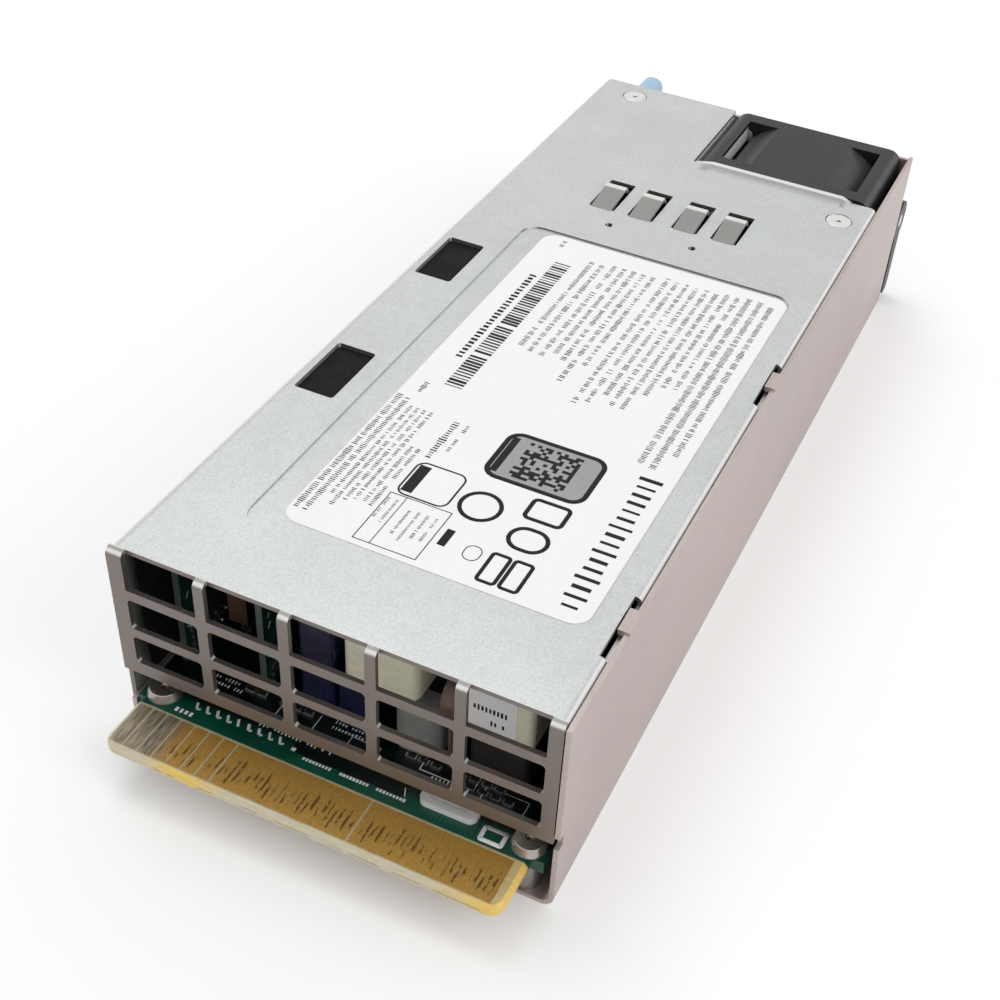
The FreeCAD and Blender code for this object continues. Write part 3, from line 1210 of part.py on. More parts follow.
def make_fan_divider():
    """A bright sheet between the inlet and the fan, with a clip that hooks between its flanges."""
    y = (rear - d.divider_from_rear, panel_inside - d.clearance)
    face = divider_x + d.metal
    wall = box("divider_wall", (divider_x, face), y, (d.metal, cover_inside_top - d.clearance))
    foot = box("divider_foot", (divider_x - d.divider_foot, face), (y[0], y[0] + d.divider_foot * 2),
               (d.metal, d.metal * 2))
    between = (fan_front + d.fan_flange + d.clip_gap, fan_back - d.fan_flange - d.clip_gap)
    fan_top = fan_z + fan_size / 2
    hook = (fan_left + d.post_wide - d.clip_inset - d.clip_thick, fan_left + d.post_wide - d.clip_inset)
    shelf_z = fan_top - d.post_wide - d.clip_gap - d.clip_thick
    shelf = box("clip_shelf", (face - d.clip_thick, hook[1]), between, (shelf_z, shelf_z + d.clip_thick))
    upright = box("clip_upright", hook, between, (shelf_z, fan_top - d.post_thick - d.clip_gap))
    part("fan_divider", fuse("divider", wall, foot, shelf, upright))


def make_fan_lead():
    """The fan's plug on the main board and its sleeved lead up to the frame's corner."""
    x, y = fan_left + d.fan_lead_inset, rear - d.plug_from_rear
    middle = y + d.plug_long / 2
    part("fan_plug", on_board("plug", span(x, d.plug_wide), (y, y + d.plug_long), d.plug_tall))
    top = fan_z + fan_size / 2 - d.fan_lead_drop
    return part("fan_lead", solid("lead", tube(
        [(x, middle, board_top + d.plug_tall), (x, middle, top), (x, fan_front, top)],
        d.lead_radius, d.lead_bend)))


# ---- handle ----
def make_handle():
    """A bail whose two ears pivot on the lugs; it hangs in front of the fan."""
    owner = body("handle")
    bar_z = d.handle_foot + d.bar_tall / 2
    for name, x in (("left", handle_left), ("right", handle_right - d.ear_thick)):
        ear = sketch(owner, name + "_ear", "YZ", x)
        circle(ear, pivot_y, pivot_z, d.ear_radius)
        circle(ear, pivot_y, pivot_z, d.pivot_radius + d.running_gap)
        pad(owner, ear, d.ear_thick)
    shoulder = pivot_z - d.arm_start
    for name, x in (("left", handle_left), ("right", handle_right - d.arm_thick)):
        arm = sketch(owner, name + "_arm", "YZ", x)
        polygon(arm, [(pivot_y - d.arm_deep / 2, shoulder), (pivot_y - d.bar_deep / 2, bar_z),
                      (pivot_y + d.bar_deep / 2, bar_z), (pivot_y + d.arm_deep / 2, shoulder)])
        pad(owner, arm, d.arm_thick)
    bar = sketch(owner, "bar", "YZ", handle_left)
    rounded(bar, span(pivot_y, d.bar_deep), span(bar_z, d.bar_tall), d.bar_corner)
    pad(owner, bar, handle_right - handle_left)
    return part("handle", owner)


def make_handle_pins():
    """Headed pins through the lugs; the handle's ears turn on them."""
    reach = d.ear_thick + d.lug_gap + d.metal
    pins = []
    for name, shank_x, head_x in (
            ("left", handle_left, handle_left + reach),
            ("right", handle_right - reach - d.pivot_head_thick,
             handle_right - reach - d.pivot_head_thick)):
        shank = rod(name + "_pin", "x", (shank_x, pivot_y, pivot_z), d.pivot_radius,
                    reach + d.pivot_head_thick)
        head = rod(name + "_pin_head", "x", (head_x, pivot_y, pivot_z), d.pivot_head,
                   d.pivot_head_thick)
        pins.append(fuse(name + "_handle_pin", shank, head))
    return part("handle_pins", group("handle_pin_set", *pins))


# ---- latch ----
leaf_in_tab = tab_x - d.latch_thick / 2
tab_front = rear - d.tab_from_rear


def make_latch_leaf():
    """A spring leaf along the left wall with a tooth that stands through the wall's slot."""
    owner = body("latch_leaf")
    jog = (rear - d.jog_start_from_rear, rear - d.jog_end_from_rear)
    start, inner = latch_bend + d.latch_split, leaf_x + d.latch_thick
    far = tab_front + d.tab_grip
    outline = sketch(owner, "leaf_outline", "XY", leaf_z[0])
    polygon(outline, [
        (leaf_x, start), (inner, start), (inner, jog[0]),
        (leaf_in_tab + d.latch_thick, jog[1]), (leaf_in_tab + d.latch_thick, far),
        (leaf_in_tab, far), (leaf_in_tab, jog[1] + d.latch_thick / 2),
        (inner, jog[0] + d.latch_thick * 2), (left - d.tooth_out, tooth[1] - d.tooth_slope / 2),
        (left - d.tooth_out, tooth[0]), (leaf_x, tooth[0] - d.tooth_slope)])
    pad(owner, outline, d.latch_tall)
    return part("latch_leaf", owner)


def make_latch_root():
    """The leaf's clamped end, flat against the cover's wall as far as the bend."""
    root = box("root_plate", (leaf_x, leaf_x + d.latch_thick),
               (rear - d.latch_root_from_rear, latch_bend), leaf_z)
    holes = [rod(f"root_hole_{index}", "x", (leaf_x - d.metal, y, z),
                 d.rivet_radius + d.bore_clearance, d.metal * 3)
             for index, (y, z) in enumerate(rivets)]
    return part("latch_root", cut("root", root, *holes))


def make_latch_tab():
    """The push tab moulded round the end of the leaf."""
    owner = body("latch_tab")
    outline = sketch(owner, "tab_outline", "XZ", tab_front)
    rounded(outline, span(tab_x, d.tab_wide), tab_z, d.tab_round)
    pad(owner, outline, d.tab_long, flip=True)
    slot = sketch(owner, "leaf_slot", "XZ", tab_front - d.metal)
    rectangle(slot, (leaf_in_tab, leaf_in_tab + d.latch_thick), leaf_z)
    pocket(owner, slot, d.tab_grip + d.metal)
    return part("latch_tab", owner)


def make_latch_rivets():
    """Rivets through the leaf's clamped end and the cover's wall, flush outside."""
    face = leaf_x + d.latch_thick
    made = []
    for index, (y, z) in enumerate(rivets):
        head = rod(f"rivet_head_{index}", "x", (face, y, z), d.rivet_head, d.rivet_head_thick)
        shank = rod(f"rivet_shank_{index}", "x", (left, y, z), d.rivet_radius, face - left)
        made.append(fuse(f"rivet_{index}", head, shank))
    return part("latch_rivets", group("rivet_set", *made))


make_chassis()
make_cover()
make_label_and_insulator()
make_cover_screws()
make_main_board()
make_contacts()
make_board_fixings()
make_daughter_boards()
make_front_capacitors()
make_transformer()
make_small_front_pieces()
make_standby_transformer()
make_header_and_shunt()
make_bulk_capacitor()
make_heatsinks()
make_chokes()
make_line_pieces()
make_fuse()
make_inlet()
make_status_light()
make_fan_frame()
make_fan_motor()
make_impeller()
make_fan_guard()
make_fan_screws()
make_fan_divider()
make_fan_lead()
make_handle()
make_handle_pins()
make_latch_leaf()
make_latch_root()
make_latch_tab()
make_latch_rivets()
doc.recompute()

# ---- checks and files ----
faults = [f"{item.Label}: {item.State}" for item in doc.Objects
          if "Invalid" in item.State or "Error" in item.State]
for item in doc.Objects:
    if item.TypeId == "PartDesign::Pocket" and item.BaseFeature:
        if item.Shape.Volume > item.BaseFeature.Shape.Volume - 1e-6:
            faults.append(f"{item.Label}: cuts nothing")
for name, item in nodes.items():
    if item.Shape.isNull() or not item.Shape.isValid():
        faults.append(f"{name}: no valid shape")
if faults:
    raise RuntimeError("; ".join(faults))
os.makedirs("parts", exist_ok=True)
for name, item in nodes.items():
    item.Shape.exportStep(f"parts/{name}.step")
print(len(nodes), "nodes written")
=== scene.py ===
import json
import math

import bmesh
import bpy
from mathutils import Matrix, Vector


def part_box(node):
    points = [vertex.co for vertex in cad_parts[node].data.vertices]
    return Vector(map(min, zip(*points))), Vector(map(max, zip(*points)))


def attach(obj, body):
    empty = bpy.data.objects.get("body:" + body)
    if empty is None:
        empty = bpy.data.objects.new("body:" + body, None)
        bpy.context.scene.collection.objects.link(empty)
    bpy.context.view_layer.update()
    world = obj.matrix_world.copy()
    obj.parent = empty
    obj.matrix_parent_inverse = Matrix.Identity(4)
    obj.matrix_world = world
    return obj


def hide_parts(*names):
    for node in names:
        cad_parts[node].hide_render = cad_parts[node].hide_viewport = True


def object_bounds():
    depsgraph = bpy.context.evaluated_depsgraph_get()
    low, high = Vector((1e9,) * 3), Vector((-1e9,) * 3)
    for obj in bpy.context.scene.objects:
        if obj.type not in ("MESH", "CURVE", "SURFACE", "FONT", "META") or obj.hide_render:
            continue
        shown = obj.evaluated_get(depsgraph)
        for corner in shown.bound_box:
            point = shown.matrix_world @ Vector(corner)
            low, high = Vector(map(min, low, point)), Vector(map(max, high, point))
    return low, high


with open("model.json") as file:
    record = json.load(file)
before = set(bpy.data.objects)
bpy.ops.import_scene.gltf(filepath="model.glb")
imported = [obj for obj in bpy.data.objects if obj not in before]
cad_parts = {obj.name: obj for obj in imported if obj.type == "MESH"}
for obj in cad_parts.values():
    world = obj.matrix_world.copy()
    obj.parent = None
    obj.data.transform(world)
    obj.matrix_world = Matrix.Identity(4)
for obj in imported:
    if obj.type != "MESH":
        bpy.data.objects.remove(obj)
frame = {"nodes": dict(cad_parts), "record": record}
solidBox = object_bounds()
mm = 0.001
bandScale = math.pi / 10  # a wave texture's bands are this far apart at a scale of 1

scene = bpy.context.scene
scene.view_settings.view_transform = "Standard"
print("frame loaded")


# shader helpers
class Finish:  # a material and short ways to add nodes to it
    def __init__(self, name, color, metallic=0.0, roughness=0.5, **fixed):
        self.material = bpy.data.materials.new(name)
        self.material.use_nodes = True
        self.tree = self.material.node_tree
        self.shader = self.tree.nodes["Principled BSDF"]
        self.coords = self.add("TexCoord")
        self.shader.inputs["Base Color"].default_value = (*color, 1)
        self.shader.inputs["Metallic"].default_value = metallic
        self.shader.inputs["Roughness"].default_value = roughness
        for socket, value in fixed.items():
            self.shader.inputs[socket.replace("_", " ")].default_value = value

    def add(self, kind, *links, **settings):  # one node; links fill its sockets in order
        node = self.tree.nodes.new("ShaderNode" + kind)
        for key, value in settings.items():
            setattr(node, key, value)
        for socket, value in zip(node.inputs, links):
            self.fill(socket, value)
        return node

    def fill(self, socket, value):
        if isinstance(value, bpy.types.NodeSocket):
            self.tree.links.new(value, socket)
        elif value is not None:
            socket.default_value = value

    def object(self):
        return self.coords.outputs["Object"]

    def along(self, axis):
        return self.add("SeparateXYZ", self.object()).outputs[axis]

    def facing(self, axis):  # the surface normal's part along X, Y or Z
        return self.add("SeparateXYZ", self.coords.outputs["Normal"]).outputs[axis]

    def squareTo(self, axis):  # 1 on faces square to an axis, 0 on faces that run along it
        return self.math("ABSOLUTE", self.facing(axis))

    def rounding(self):  # 0 on faces square to an axis, up to 1 on broken edges between them
        most = self.most(self.most(self.squareTo("X"), self.squareTo("Y")), self.squareTo("Z"))
        return self.span(most, 0.95, 0.80)

    def stretched(self, scale):
        if scale is None:
            return self.object()
        node = self.add("Mapping", self.object())
        node.inputs["Scale"].default_value = scale
        return node.outputs[0]

    def noise(self, size, detail=3.0, stretch=None, rough=0.55):  # size is one feature's length
        node = self.add("TexNoise", self.stretched(stretch))
        node.inputs["Scale"].default_value = 1 / size
        node.inputs["Detail"].default_value = detail
        node.inputs["Roughness"].default_value = rough
        return node.outputs["Fac"]

    def cells(self, size, output="Distance"):
        node = self.add("TexVoronoi", self.object())
        node.inputs["Scale"].default_value = 1 / size
        return node.outputs[output]

    def waves(self, axis, period, distortion, stretch=None, fine=1.0):  # soft bands that follow each other
        node = self.add("TexWave", self.stretched(stretch), wave_type="BANDS", bands_direction=axis)
        node.inputs["Scale"].default_value = bandScale / period
        node.inputs["Distortion"].default_value = distortion
        node.inputs["Detail Scale"].default_value = fine
        return node.outputs["Fac"]

    def math(self, operation, first, second=None):
        return self.add("Math", first, second, operation=operation).outputs[0]

    def times(self, first, second):
        return self.math("MULTIPLY", first, second)

    def most(self, first, second):
        return self.math("MAXIMUM", first, second)

    def span(self, value, low, high, start=0.0, end=1.0):  # a clamped change of range
        return self.add("MapRange", value, low, high, start, end).outputs[0]

    def past(self, axis, place, soft=0.1 * mm):  # 1 on the far side of a place along an axis
        return self.span(self.along(axis), place - soft, place + soft)

    def before(self, axis, place, soft=0.1 * mm):  # 1 on its near side
        return self.span(self.along(axis), place + soft, place - soft)

    def blend(self, amount, first, second):
        node = self.add("Mix", data_type="RGBA")
        self.fill(node.inputs[0], amount)
        for socket, value in ((node.inputs[6], first), (node.inputs[7], second)):
            self.fill(socket, value if isinstance(value, bpy.types.NodeSocket) else (*value, 1))
        return node.outputs[2]

    def shade(self, color, amount):  # a colour made darker or lighter by a factor
        node = self.add("VectorMath", color, operation="SCALE")
        self.fill(node.inputs["Scale"], amount)
        return node.outputs[0]

    def color(self, value):
        self.fill(self.shader.inputs["Base Color"], value)

    def roughness(self, value):
        self.fill(self.shader.inputs["Roughness"], value)

    def metal(self, value):
        self.fill(self.shader.inputs["Metallic"], value)

    def bump(self, height, depth):  # depth is the height's real size
        node = self.add("Bump")
        node.inputs["Strength"].default_value = 1.0
        node.inputs["Distance"].default_value = depth
        self.fill(node.inputs["Height"], height)
        self.tree.links.new(node.outputs[0], self.shader.inputs["Normal"])
        return self.material


# metals
# the slope and front colours are painted shade on faces turned to the front; the edge colour is a painted
# highlight
sheetColor = {
    "plate": (0.615, 0.635, 0.622), "plateLow": (0.500, 0.517, 0.505),
    "slopeShade": (0.262, 0.257, 0.248), "front": (0.215, 0.186, 0.168), "edge": (0.90, 0.90, 0.885),
    "wall": (0.545, 0.465, 0.444), "wallLow": (0.463, 0.392, 0.374),
}
sheetPlace = {
    "lip": 57.5 * mm,  # past this the plate turns up towards the fan and stays grey, darkened by painted shade
    "rim": 63.8 * mm,  # where the lip's far rim begins, which gets a painted highlight
    "flatTop": 39.2 * mm,  # above this only the springs and the lip stand up
    "crest": 0.14 * mm,  # how far down from the highest point the springs' crests get a painted highlight
    "grille": 10.8 * mm,  # from the tongue's tip to the grille's inner face
    "fold": 2.4 * mm,  # from the highest point down to the grille's openings
}


def galvanisedSheet():  # fine grained zinc whose front face is darker and browner by painted shade
    finish = Finish("galvanisedSheet", sheetColor["plate"], metallic=0.7)
    tip, top = solidBox[0][1], solidBox[1][2]
    grain = finish.noise(0.42 * mm, detail=4, rough=0.75)
    cloud = finish.noise(16 * mm, detail=3)
    speck = finish.cells(1.1 * mm, output="Color")
    plate = finish.blend(finish.span(grain, 0.36, 0.64), sheetColor["plateLow"], sheetColor["plate"])
    plate = finish.shade(plate, finish.span(cloud, 0.3, 0.7, 0.965, 1.03))
    plate = finish.shade(plate, finish.span(speck, 0.0, 1.0, 0.97, 1.03))
    turned = finish.times(finish.facing("Y"), -1.0)
    leaning = finish.span(turned, 0.04, 0.12)
    springs = finish.times(leaning, finish.before("Y", sheetPlace["lip"], 0.5 * mm))
    # painted shade: faces leaning to the front are darkened, the springs' slopes to their own dark colour
    shadedPlate = finish.shade(plate, finish.span(leaning, 0.0, 1.0, 1.0, 0.60))
    slopeShade = finish.blend(springs, shadedPlate, sheetColor["slopeShade"])
    # painted shade: faces turned to the front take the darker, browner front colour
    face = finish.blend(finish.span(turned, 0.45, 0.98), slopeShade, sheetColor["front"])
    # painted shade: inside the grille's openings the faces take the front colour too
    steep = finish.span(finish.squareTo("Z"), 0.995, 0.98)
    low = finish.before("Z", top - sheetPlace["fold"], 0.2 * mm)
    openings = finish.times(finish.before("Y", tip + sheetPlace["grille"]), finish.most(steep, low))
    face = finish.blend(openings, face, sheetColor["front"])
    # painted highlight on broken edges, the springs' crests and the lip's rim, weaker on the springs' backs
    springBack = finish.times(finish.span(finish.facing("Y"), 0.4, 0.6),
                              finish.past("Z", sheetPlace["flatTop"]))
    highlightScale = finish.span(springBack, 0.0, 1.0, 1.0, 0.25)
    crest = finish.past("Z", top - sheetPlace["crest"], 0.04 * mm)
    rim = finish.times(leaning, finish.past("Y", sheetPlace["rim"]))
    raised = finish.times(finish.most(crest, rim), 0.8)
    paintedHighlight = finish.times(finish.most(finish.rounding(), raised), highlightScale)
    finish.color(finish.blend(finish.times(paintedHighlight, 0.9), face, sheetColor["edge"]))
    finish.metal(finish.span(paintedHighlight, 0.0, 1.0, 0.7, 0.1))
    finish.roughness(finish.span(speck, 0.0, 1.0, 0.36, 0.46))
    return finish.bump(grain, 0.010 * mm)


def brushedZinc():  # the chassis, rolled along its length
    finish = Finish("brushedZinc", sheetColor["wall"], metallic=0.6)
    streak = finish.noise(0.5 * mm, detail=3, stretch=(1.0, 0.05, 1.0), rough=0.6)
    grain = finish.noise(0.5 * mm, detail=3, rough=0.7)
    cloud = finish.noise(24 * mm, detail=3)
    mixed = finish.math("ADD", finish.times(streak, 0.5), finish.times(grain, 0.5))
    wall = finish.blend(finish.span(mixed, 0.38, 0.62), sheetColor["wallLow"], sheetColor["wall"])
    wall = finish.shade(wall, finish.span(cloud, 0.3, 0.7, 0.95, 1.04))
    # painted highlight: broken edges take the light edge colour and lose their metal
    paintedHighlight = finish.rounding()
    finish.color(finish.blend(finish.times(paintedHighlight, 0.85), wall, sheetColor["edge"]))
    finish.metal(finish.span(paintedHighlight, 0.0, 1.0, 0.6, 0.1))
    finish.roughness(finish.span(streak, 0.3, 0.7, 0.36, 0.5))
    return finish.bump(mixed, 0.008 * mm)


def plainMetal(name, color, roughness, grain=0.5 * mm, depth=0.002 * mm, metallic=1.0):
    finish = Finish(name, color, metallic=metallic)
    fine = finish.noise(grain, detail=3)
    broad = finish.noise(5 * mm, detail=2)
    mixed = finish.blend(fine, tuple(c * 0.92 for c in color), color)
    finish.color(finish.shade(mixed, finish.span(broad, 0.3, 0.7, 0.96, 1.03)))
    finish.roughness(finish.span(fine, 0.3, 0.7, roughness * 0.9, roughness * 1.15))
    return finish.bump(fine, depth)


platingColor = {
    "low": (0.372, 0.201, 0.035), "high": (0.575, 0.331, 0.068), "scar": (0.085, 0.045, 0.012),
    "greyLow": (0.150, 0.120, 0.078), "greyHigh": (0.350, 0.300, 0.215),
}
platingWear = {
    "grey": 8.1 * mm,  # from the left, how far the first contacts have lost their gold
    "apart": 0.92 * mm,  # one score to the next
    "start": (0.5 * mm, 2.6 * mm), "stop": (2.6 * mm, 6.0 * mm),  # nearest and farthest, from the front edge
}


def goldContacts():  # grainy plating, scored where the socket's springs ran, greyer on the first contacts
    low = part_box("edge_contacts")[0]
    finish = Finish("goldContacts", platingColor["low"], metallic=0.35)
    dust = finish.noise(0.32 * mm, detail=4, rough=0.75)
    strip = (1.0, 0.004, 0.004)  # one value for each strip along Y
    score = finish.span(finish.waves("X", platingWear["apart"], 3.2, stretch=strip), 0.47, 0.66)
    group = finish.span(finish.noise(3.4 * mm, detail=1, stretch=strip), 0.37, 0.46)
    fromTip = finish.math("SUBTRACT", finish.along("Y"), low.y)
    start = finish.span(finish.noise(0.83 * mm, detail=1, stretch=strip), 0.35, 0.65, *platingWear["start"])
    stop = finish.span(finish.noise(0.71 * mm, detail=2, stretch=strip), 0.35, 0.65, *platingWear["stop"])
    run = finish.times(finish.span(finish.math("SUBTRACT", fromTip, start), 0.0, 0.3 * mm),
                       finish.span(finish.math("SUBTRACT", stop, fromTip), 0.0, 0.5 * mm))
    skip = finish.span(finish.noise(0.7 * mm, detail=2, stretch=(1.0, 0.5, 1.0)), 0.38, 0.46)
    scored = finish.times(finish.times(score, finish.times(run, skip)), group)
    gold = finish.blend(finish.span(dust, 0.33, 0.67), platingColor["low"], platingColor["high"])
    gold = finish.blend(finish.times(scored, 0.85), gold, platingColor["scar"])
    brushed = finish.noise(0.34 * mm, detail=2, stretch=(1.0, 0.16, 1.0), rough=0.5)
    grey = finish.blend(finish.span(brushed, 0.35, 0.65), platingColor["greyLow"], platingColor["greyHigh"])
    finish.color(finish.blend(finish.before("X", low.x + platingWear["grey"], 1.5 * mm), gold, grey))
    finish.roughness(finish.span(dust, 0.3, 0.7, 0.38, 0.55))
    return finish.bump(dust, 0.012 * mm)


# boards
# the inner colour is painted shadow on the mask behind the grille and in a field behind the contacts
boardColor = {
    "mask": (0.0030, 0.086, 0.049), "maskLow": (0.0020, 0.060, 0.036), "track": (0.0060, 0.110, 0.066),
    "inner": (0.0010, 0.006, 0.0045), "bareLow": (0.44, 0.38, 0.23), "bare": (0.58, 0.52, 0.35),
    "cut": (0.66, 0.60, 0.42), "glow": (0.88, 0.60, 0.15), "layer": (0.24, 0.21, 0.13),
}
boardPlace = {
    "inner": 12.9 * mm,  # from the tongue's tip to where painted shadow turns the mask dark behind the grille
    "field": (-7.95 * mm, 11.45 * mm, 2.65 * mm),  # field of painted shadow: left, right, behind the contacts
    "bare": 0.4 * mm,  # how far behind the contacts the bare laminate ends
    "corner": 25.5 * mm,  # from here to the right-hand corner the cut edge is yellow
    "yellow": (-24.5 * mm, -15 * mm),  # a second yellow stretch of the cut edge
}


def boardFinish():  # green mask over tracks and vias; bare laminate on the tongue and cut edges
    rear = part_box("edge_contacts")[1].y
    low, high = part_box("main_board")
    finish = Finish("boardFinish", boardColor["mask"], roughness=0.32)
    bundle = finish.waves("X", 0.736 * mm, 1.2, fine=0.4)
    where = finish.span(finish.noise(5 * mm, detail=1), 0.48, 0.54)
    via = finish.span(finish.cells(2.3 * mm), 0.16, 0.12)
    raised = finish.most(finish.times(finish.span(bundle, 0.55, 0.75), where), via)
    tint = finish.noise(9 * mm, detail=3)
    mask = finish.blend(finish.span(tint, 0.35, 0.65), boardColor["maskLow"], boardColor["mask"])
    mask = finish.blend(finish.times(raised, 0.5), mask, boardColor["track"])
    # painted shadow: the mask turns near black in the field and behind the grille
    left, right, front = boardPlace["field"]
    field = finish.times(finish.past("X", left, 0.05 * mm), finish.before("X", right, 0.05 * mm))
    field = finish.times(field, finish.past("Y", rear + front, 0.05 * mm))
    inside = finish.most(field, finish.past("Y", solidBox[0][1] + boardPlace["inner"], 0.7 * mm))
    mask = finish.blend(inside, mask, boardColor["inner"])
    fibre = finish.noise(0.5 * mm, detail=3, stretch=(0.2, 1.0, 1.0))
    corner = finish.past("X", boardPlace["corner"], 4.5 * mm)
    bare = finish.blend(finish.span(fibre, 0.3, 0.7), boardColor["bareLow"], boardColor["bare"])
    bare = finish.blend(finish.times(corner, 0.4), bare, boardColor["glow"])
    tongue = finish.before("Y", rear + boardPlace["bare"])
    flat = finish.blend(tongue, mask, bare)
    start, end = boardPlace["yellow"]
    yellow = finish.times(finish.past("X", start, 2.5 * mm), finish.before("X", end, 3 * mm))
    edge = finish.blend(finish.most(corner, yellow), boardColor["cut"], boardColor["glow"])
    edge = finish.shade(edge, finish.span(fibre, 0.3, 0.7, 0.88, 1.05))
    offMiddle = finish.math("ABSOLUTE", finish.math("SUBTRACT", finish.along("Z"), (low.z + high.z) / 2))
    dashes = finish.span(finish.noise(3 * mm, detail=1, stretch=(1.0, 0.1, 0.1)), 0.46, 0.52)
    layer = finish.times(finish.span(offMiddle, 0.15 * mm, 0.07 * mm), dashes)
    edge = finish.blend(finish.times(layer, 0.8), edge, boardColor["layer"])
    edge = finish.blend(tongue, boardColor["maskLow"], edge)
    finish.color(finish.blend(finish.span(finish.squareTo("Z"), 0.9, 0.75), flat, edge))
    return finish.bump(raised, 0.02 * mm)


daughterColor = {
    "mask": (0.004, 0.034, 0.023), "maskLow": (0.002, 0.018, 0.012), "track": (0.008, 0.060, 0.040),
    "cut": (0.100, 0.125, 0.102), "cutLow": (0.060, 0.082, 0.066),
}


def daughterFinish():  # small upright boards: dark mask, grey green cut edges
    finish = Finish("daughterFinish", daughterColor["mask"], roughness=0.35)
    tint = finish.noise(4 * mm, detail=3)
    line = finish.waves("Z", 0.785 * mm, 1.5)
    face = finish.blend(finish.span(tint, 0.35, 0.65), daughterColor["maskLow"], daughterColor["mask"])
    face = finish.blend(finish.times(finish.span(line, 0.6, 0.8), 0.5), face, daughterColor["track"])
    cut = finish.blend(finish.noise(0.6 * mm), daughterColor["cutLow"], daughterColor["cut"])
    finish.color(finish.blend(finish.span(finish.squareTo("X"), 0.5, 0.8), cut, face))
    return finish.bump(line, 0.02 * mm)


# plastics, tape and film
def plainSolid(name, color, roughness, grain=0.6 * mm, depth=0.01 * mm, spread=0.12, cloud=0.05, **fixed):
    finish = Finish(name, color, **fixed)
    fine = finish.noise(grain, detail=3)
    broad = finish.noise(8 * mm, detail=2)
    mixed = finish.blend(finish.span(fine, 0.3, 0.7), tuple(c * (1 - spread) for c in color),
                         tuple(min(1.0, c * (1 + spread)) for c in color))
    finish.color(finish.shade(mixed, finish.span(broad, 0.3, 0.7, 1 - cloud, 1 + cloud)))
    finish.roughness(finish.span(fine, 0.3, 0.7, roughness * 0.88, min(1.0, roughness * 1.12)))
    return finish.bump(fine, depth)


filmColor = {"low": (0.006, 0.006, 0.0065), "high": (0.013, 0.013, 0.014)}


def wovenFilm():  # black insulating film with a faint pressed weave
    finish = Finish("wovenFilm", filmColor["high"], Specular_IOR_Level=0.1)
    weave = finish.cells(0.8 * mm)
    cloud = finish.noise(4 * mm, detail=3)
    finish.color(finish.blend(finish.span(cloud, 0.3, 0.7), filmColor["low"], filmColor["high"]))
    finish.roughness(finish.span(weave, 0.0, 0.8, 0.55, 0.68))
    return finish.bump(weave, 0.012 * mm)


def wrappedTape(name, color):  # turns of polyester tape round a winding
    finish = Finish(name, color, roughness=0.4, Coat_Weight=0.15)
    turns = finish.waves("Z", 2.16 * mm, 0.4)
    fine = finish.noise(1.2 * mm, detail=3)
    base = finish.blend(finish.span(fine, 0.3, 0.7), tuple(c * 0.92 for c in color), color)
    finish.color(finish.shade(base, finish.span(turns, 0.0, 0.12, 0.94, 1.0)))
    return finish.bump(turns, 0.05 * mm)


def clearPlastic(name, color, roughness, through):
    finish = Finish(name, color, roughness=roughness, Transmission_Weight=through, IOR=1.46)
    fine = finish.noise(1.5 * mm, detail=2)
    finish.color(finish.blend(fine, tuple(c * 0.92 for c in color), color))
    return finish.bump(fine, 0.01 * mm)


nylonColor = {"flat": (0.0095, 0.0095, 0.0102), "paintedHighlight": (0.060, 0.060, 0.062)}


def mouldedNylon():  # finely grained black, a little greyer on rounded corners by painted highlight
    finish = Finish("mouldedNylon", nylonColor["flat"], Specular_IOR_Level=0.32)
    fine = finish.noise(0.30 * mm, detail=3)
    broad = finish.noise(8 * mm, detail=2)
    # painted highlight: rounded corners take the greyer colour
    base = finish.blend(finish.rounding(), nylonColor["flat"], nylonColor["paintedHighlight"])
    finish.color(finish.shade(base, finish.span(broad, 0.3, 0.7, 0.9, 1.1)))
    finish.roughness(finish.span(fine, 0.3, 0.7, 0.36, 0.48))
    return finish.bump(fine, 0.010 * mm)


screwColor = {"bright": (0.78, 0.77, 0.755), "brightLow": (0.66, 0.65, 0.635), "deep": (0.060, 0.058, 0.056)}


def recessedScrew(node):  # bright plating, with painted shade down in the cross
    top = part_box(node)[1].z
    finish = Finish("recessedScrew", screwColor["bright"], metallic=0.75, roughness=0.34)
    fine = finish.noise(1.5 * mm, detail=3)
    # painted shade in the cross recess
    deep = finish.before("Z", top - 0.20 * mm)
    bright = finish.blend(fine, screwColor["brightLow"], screwColor["bright"])
    finish.color(finish.blend(finish.times(deep, 0.85), bright, screwColor["deep"]))
    return finish.bump(fine, 0.004 * mm)


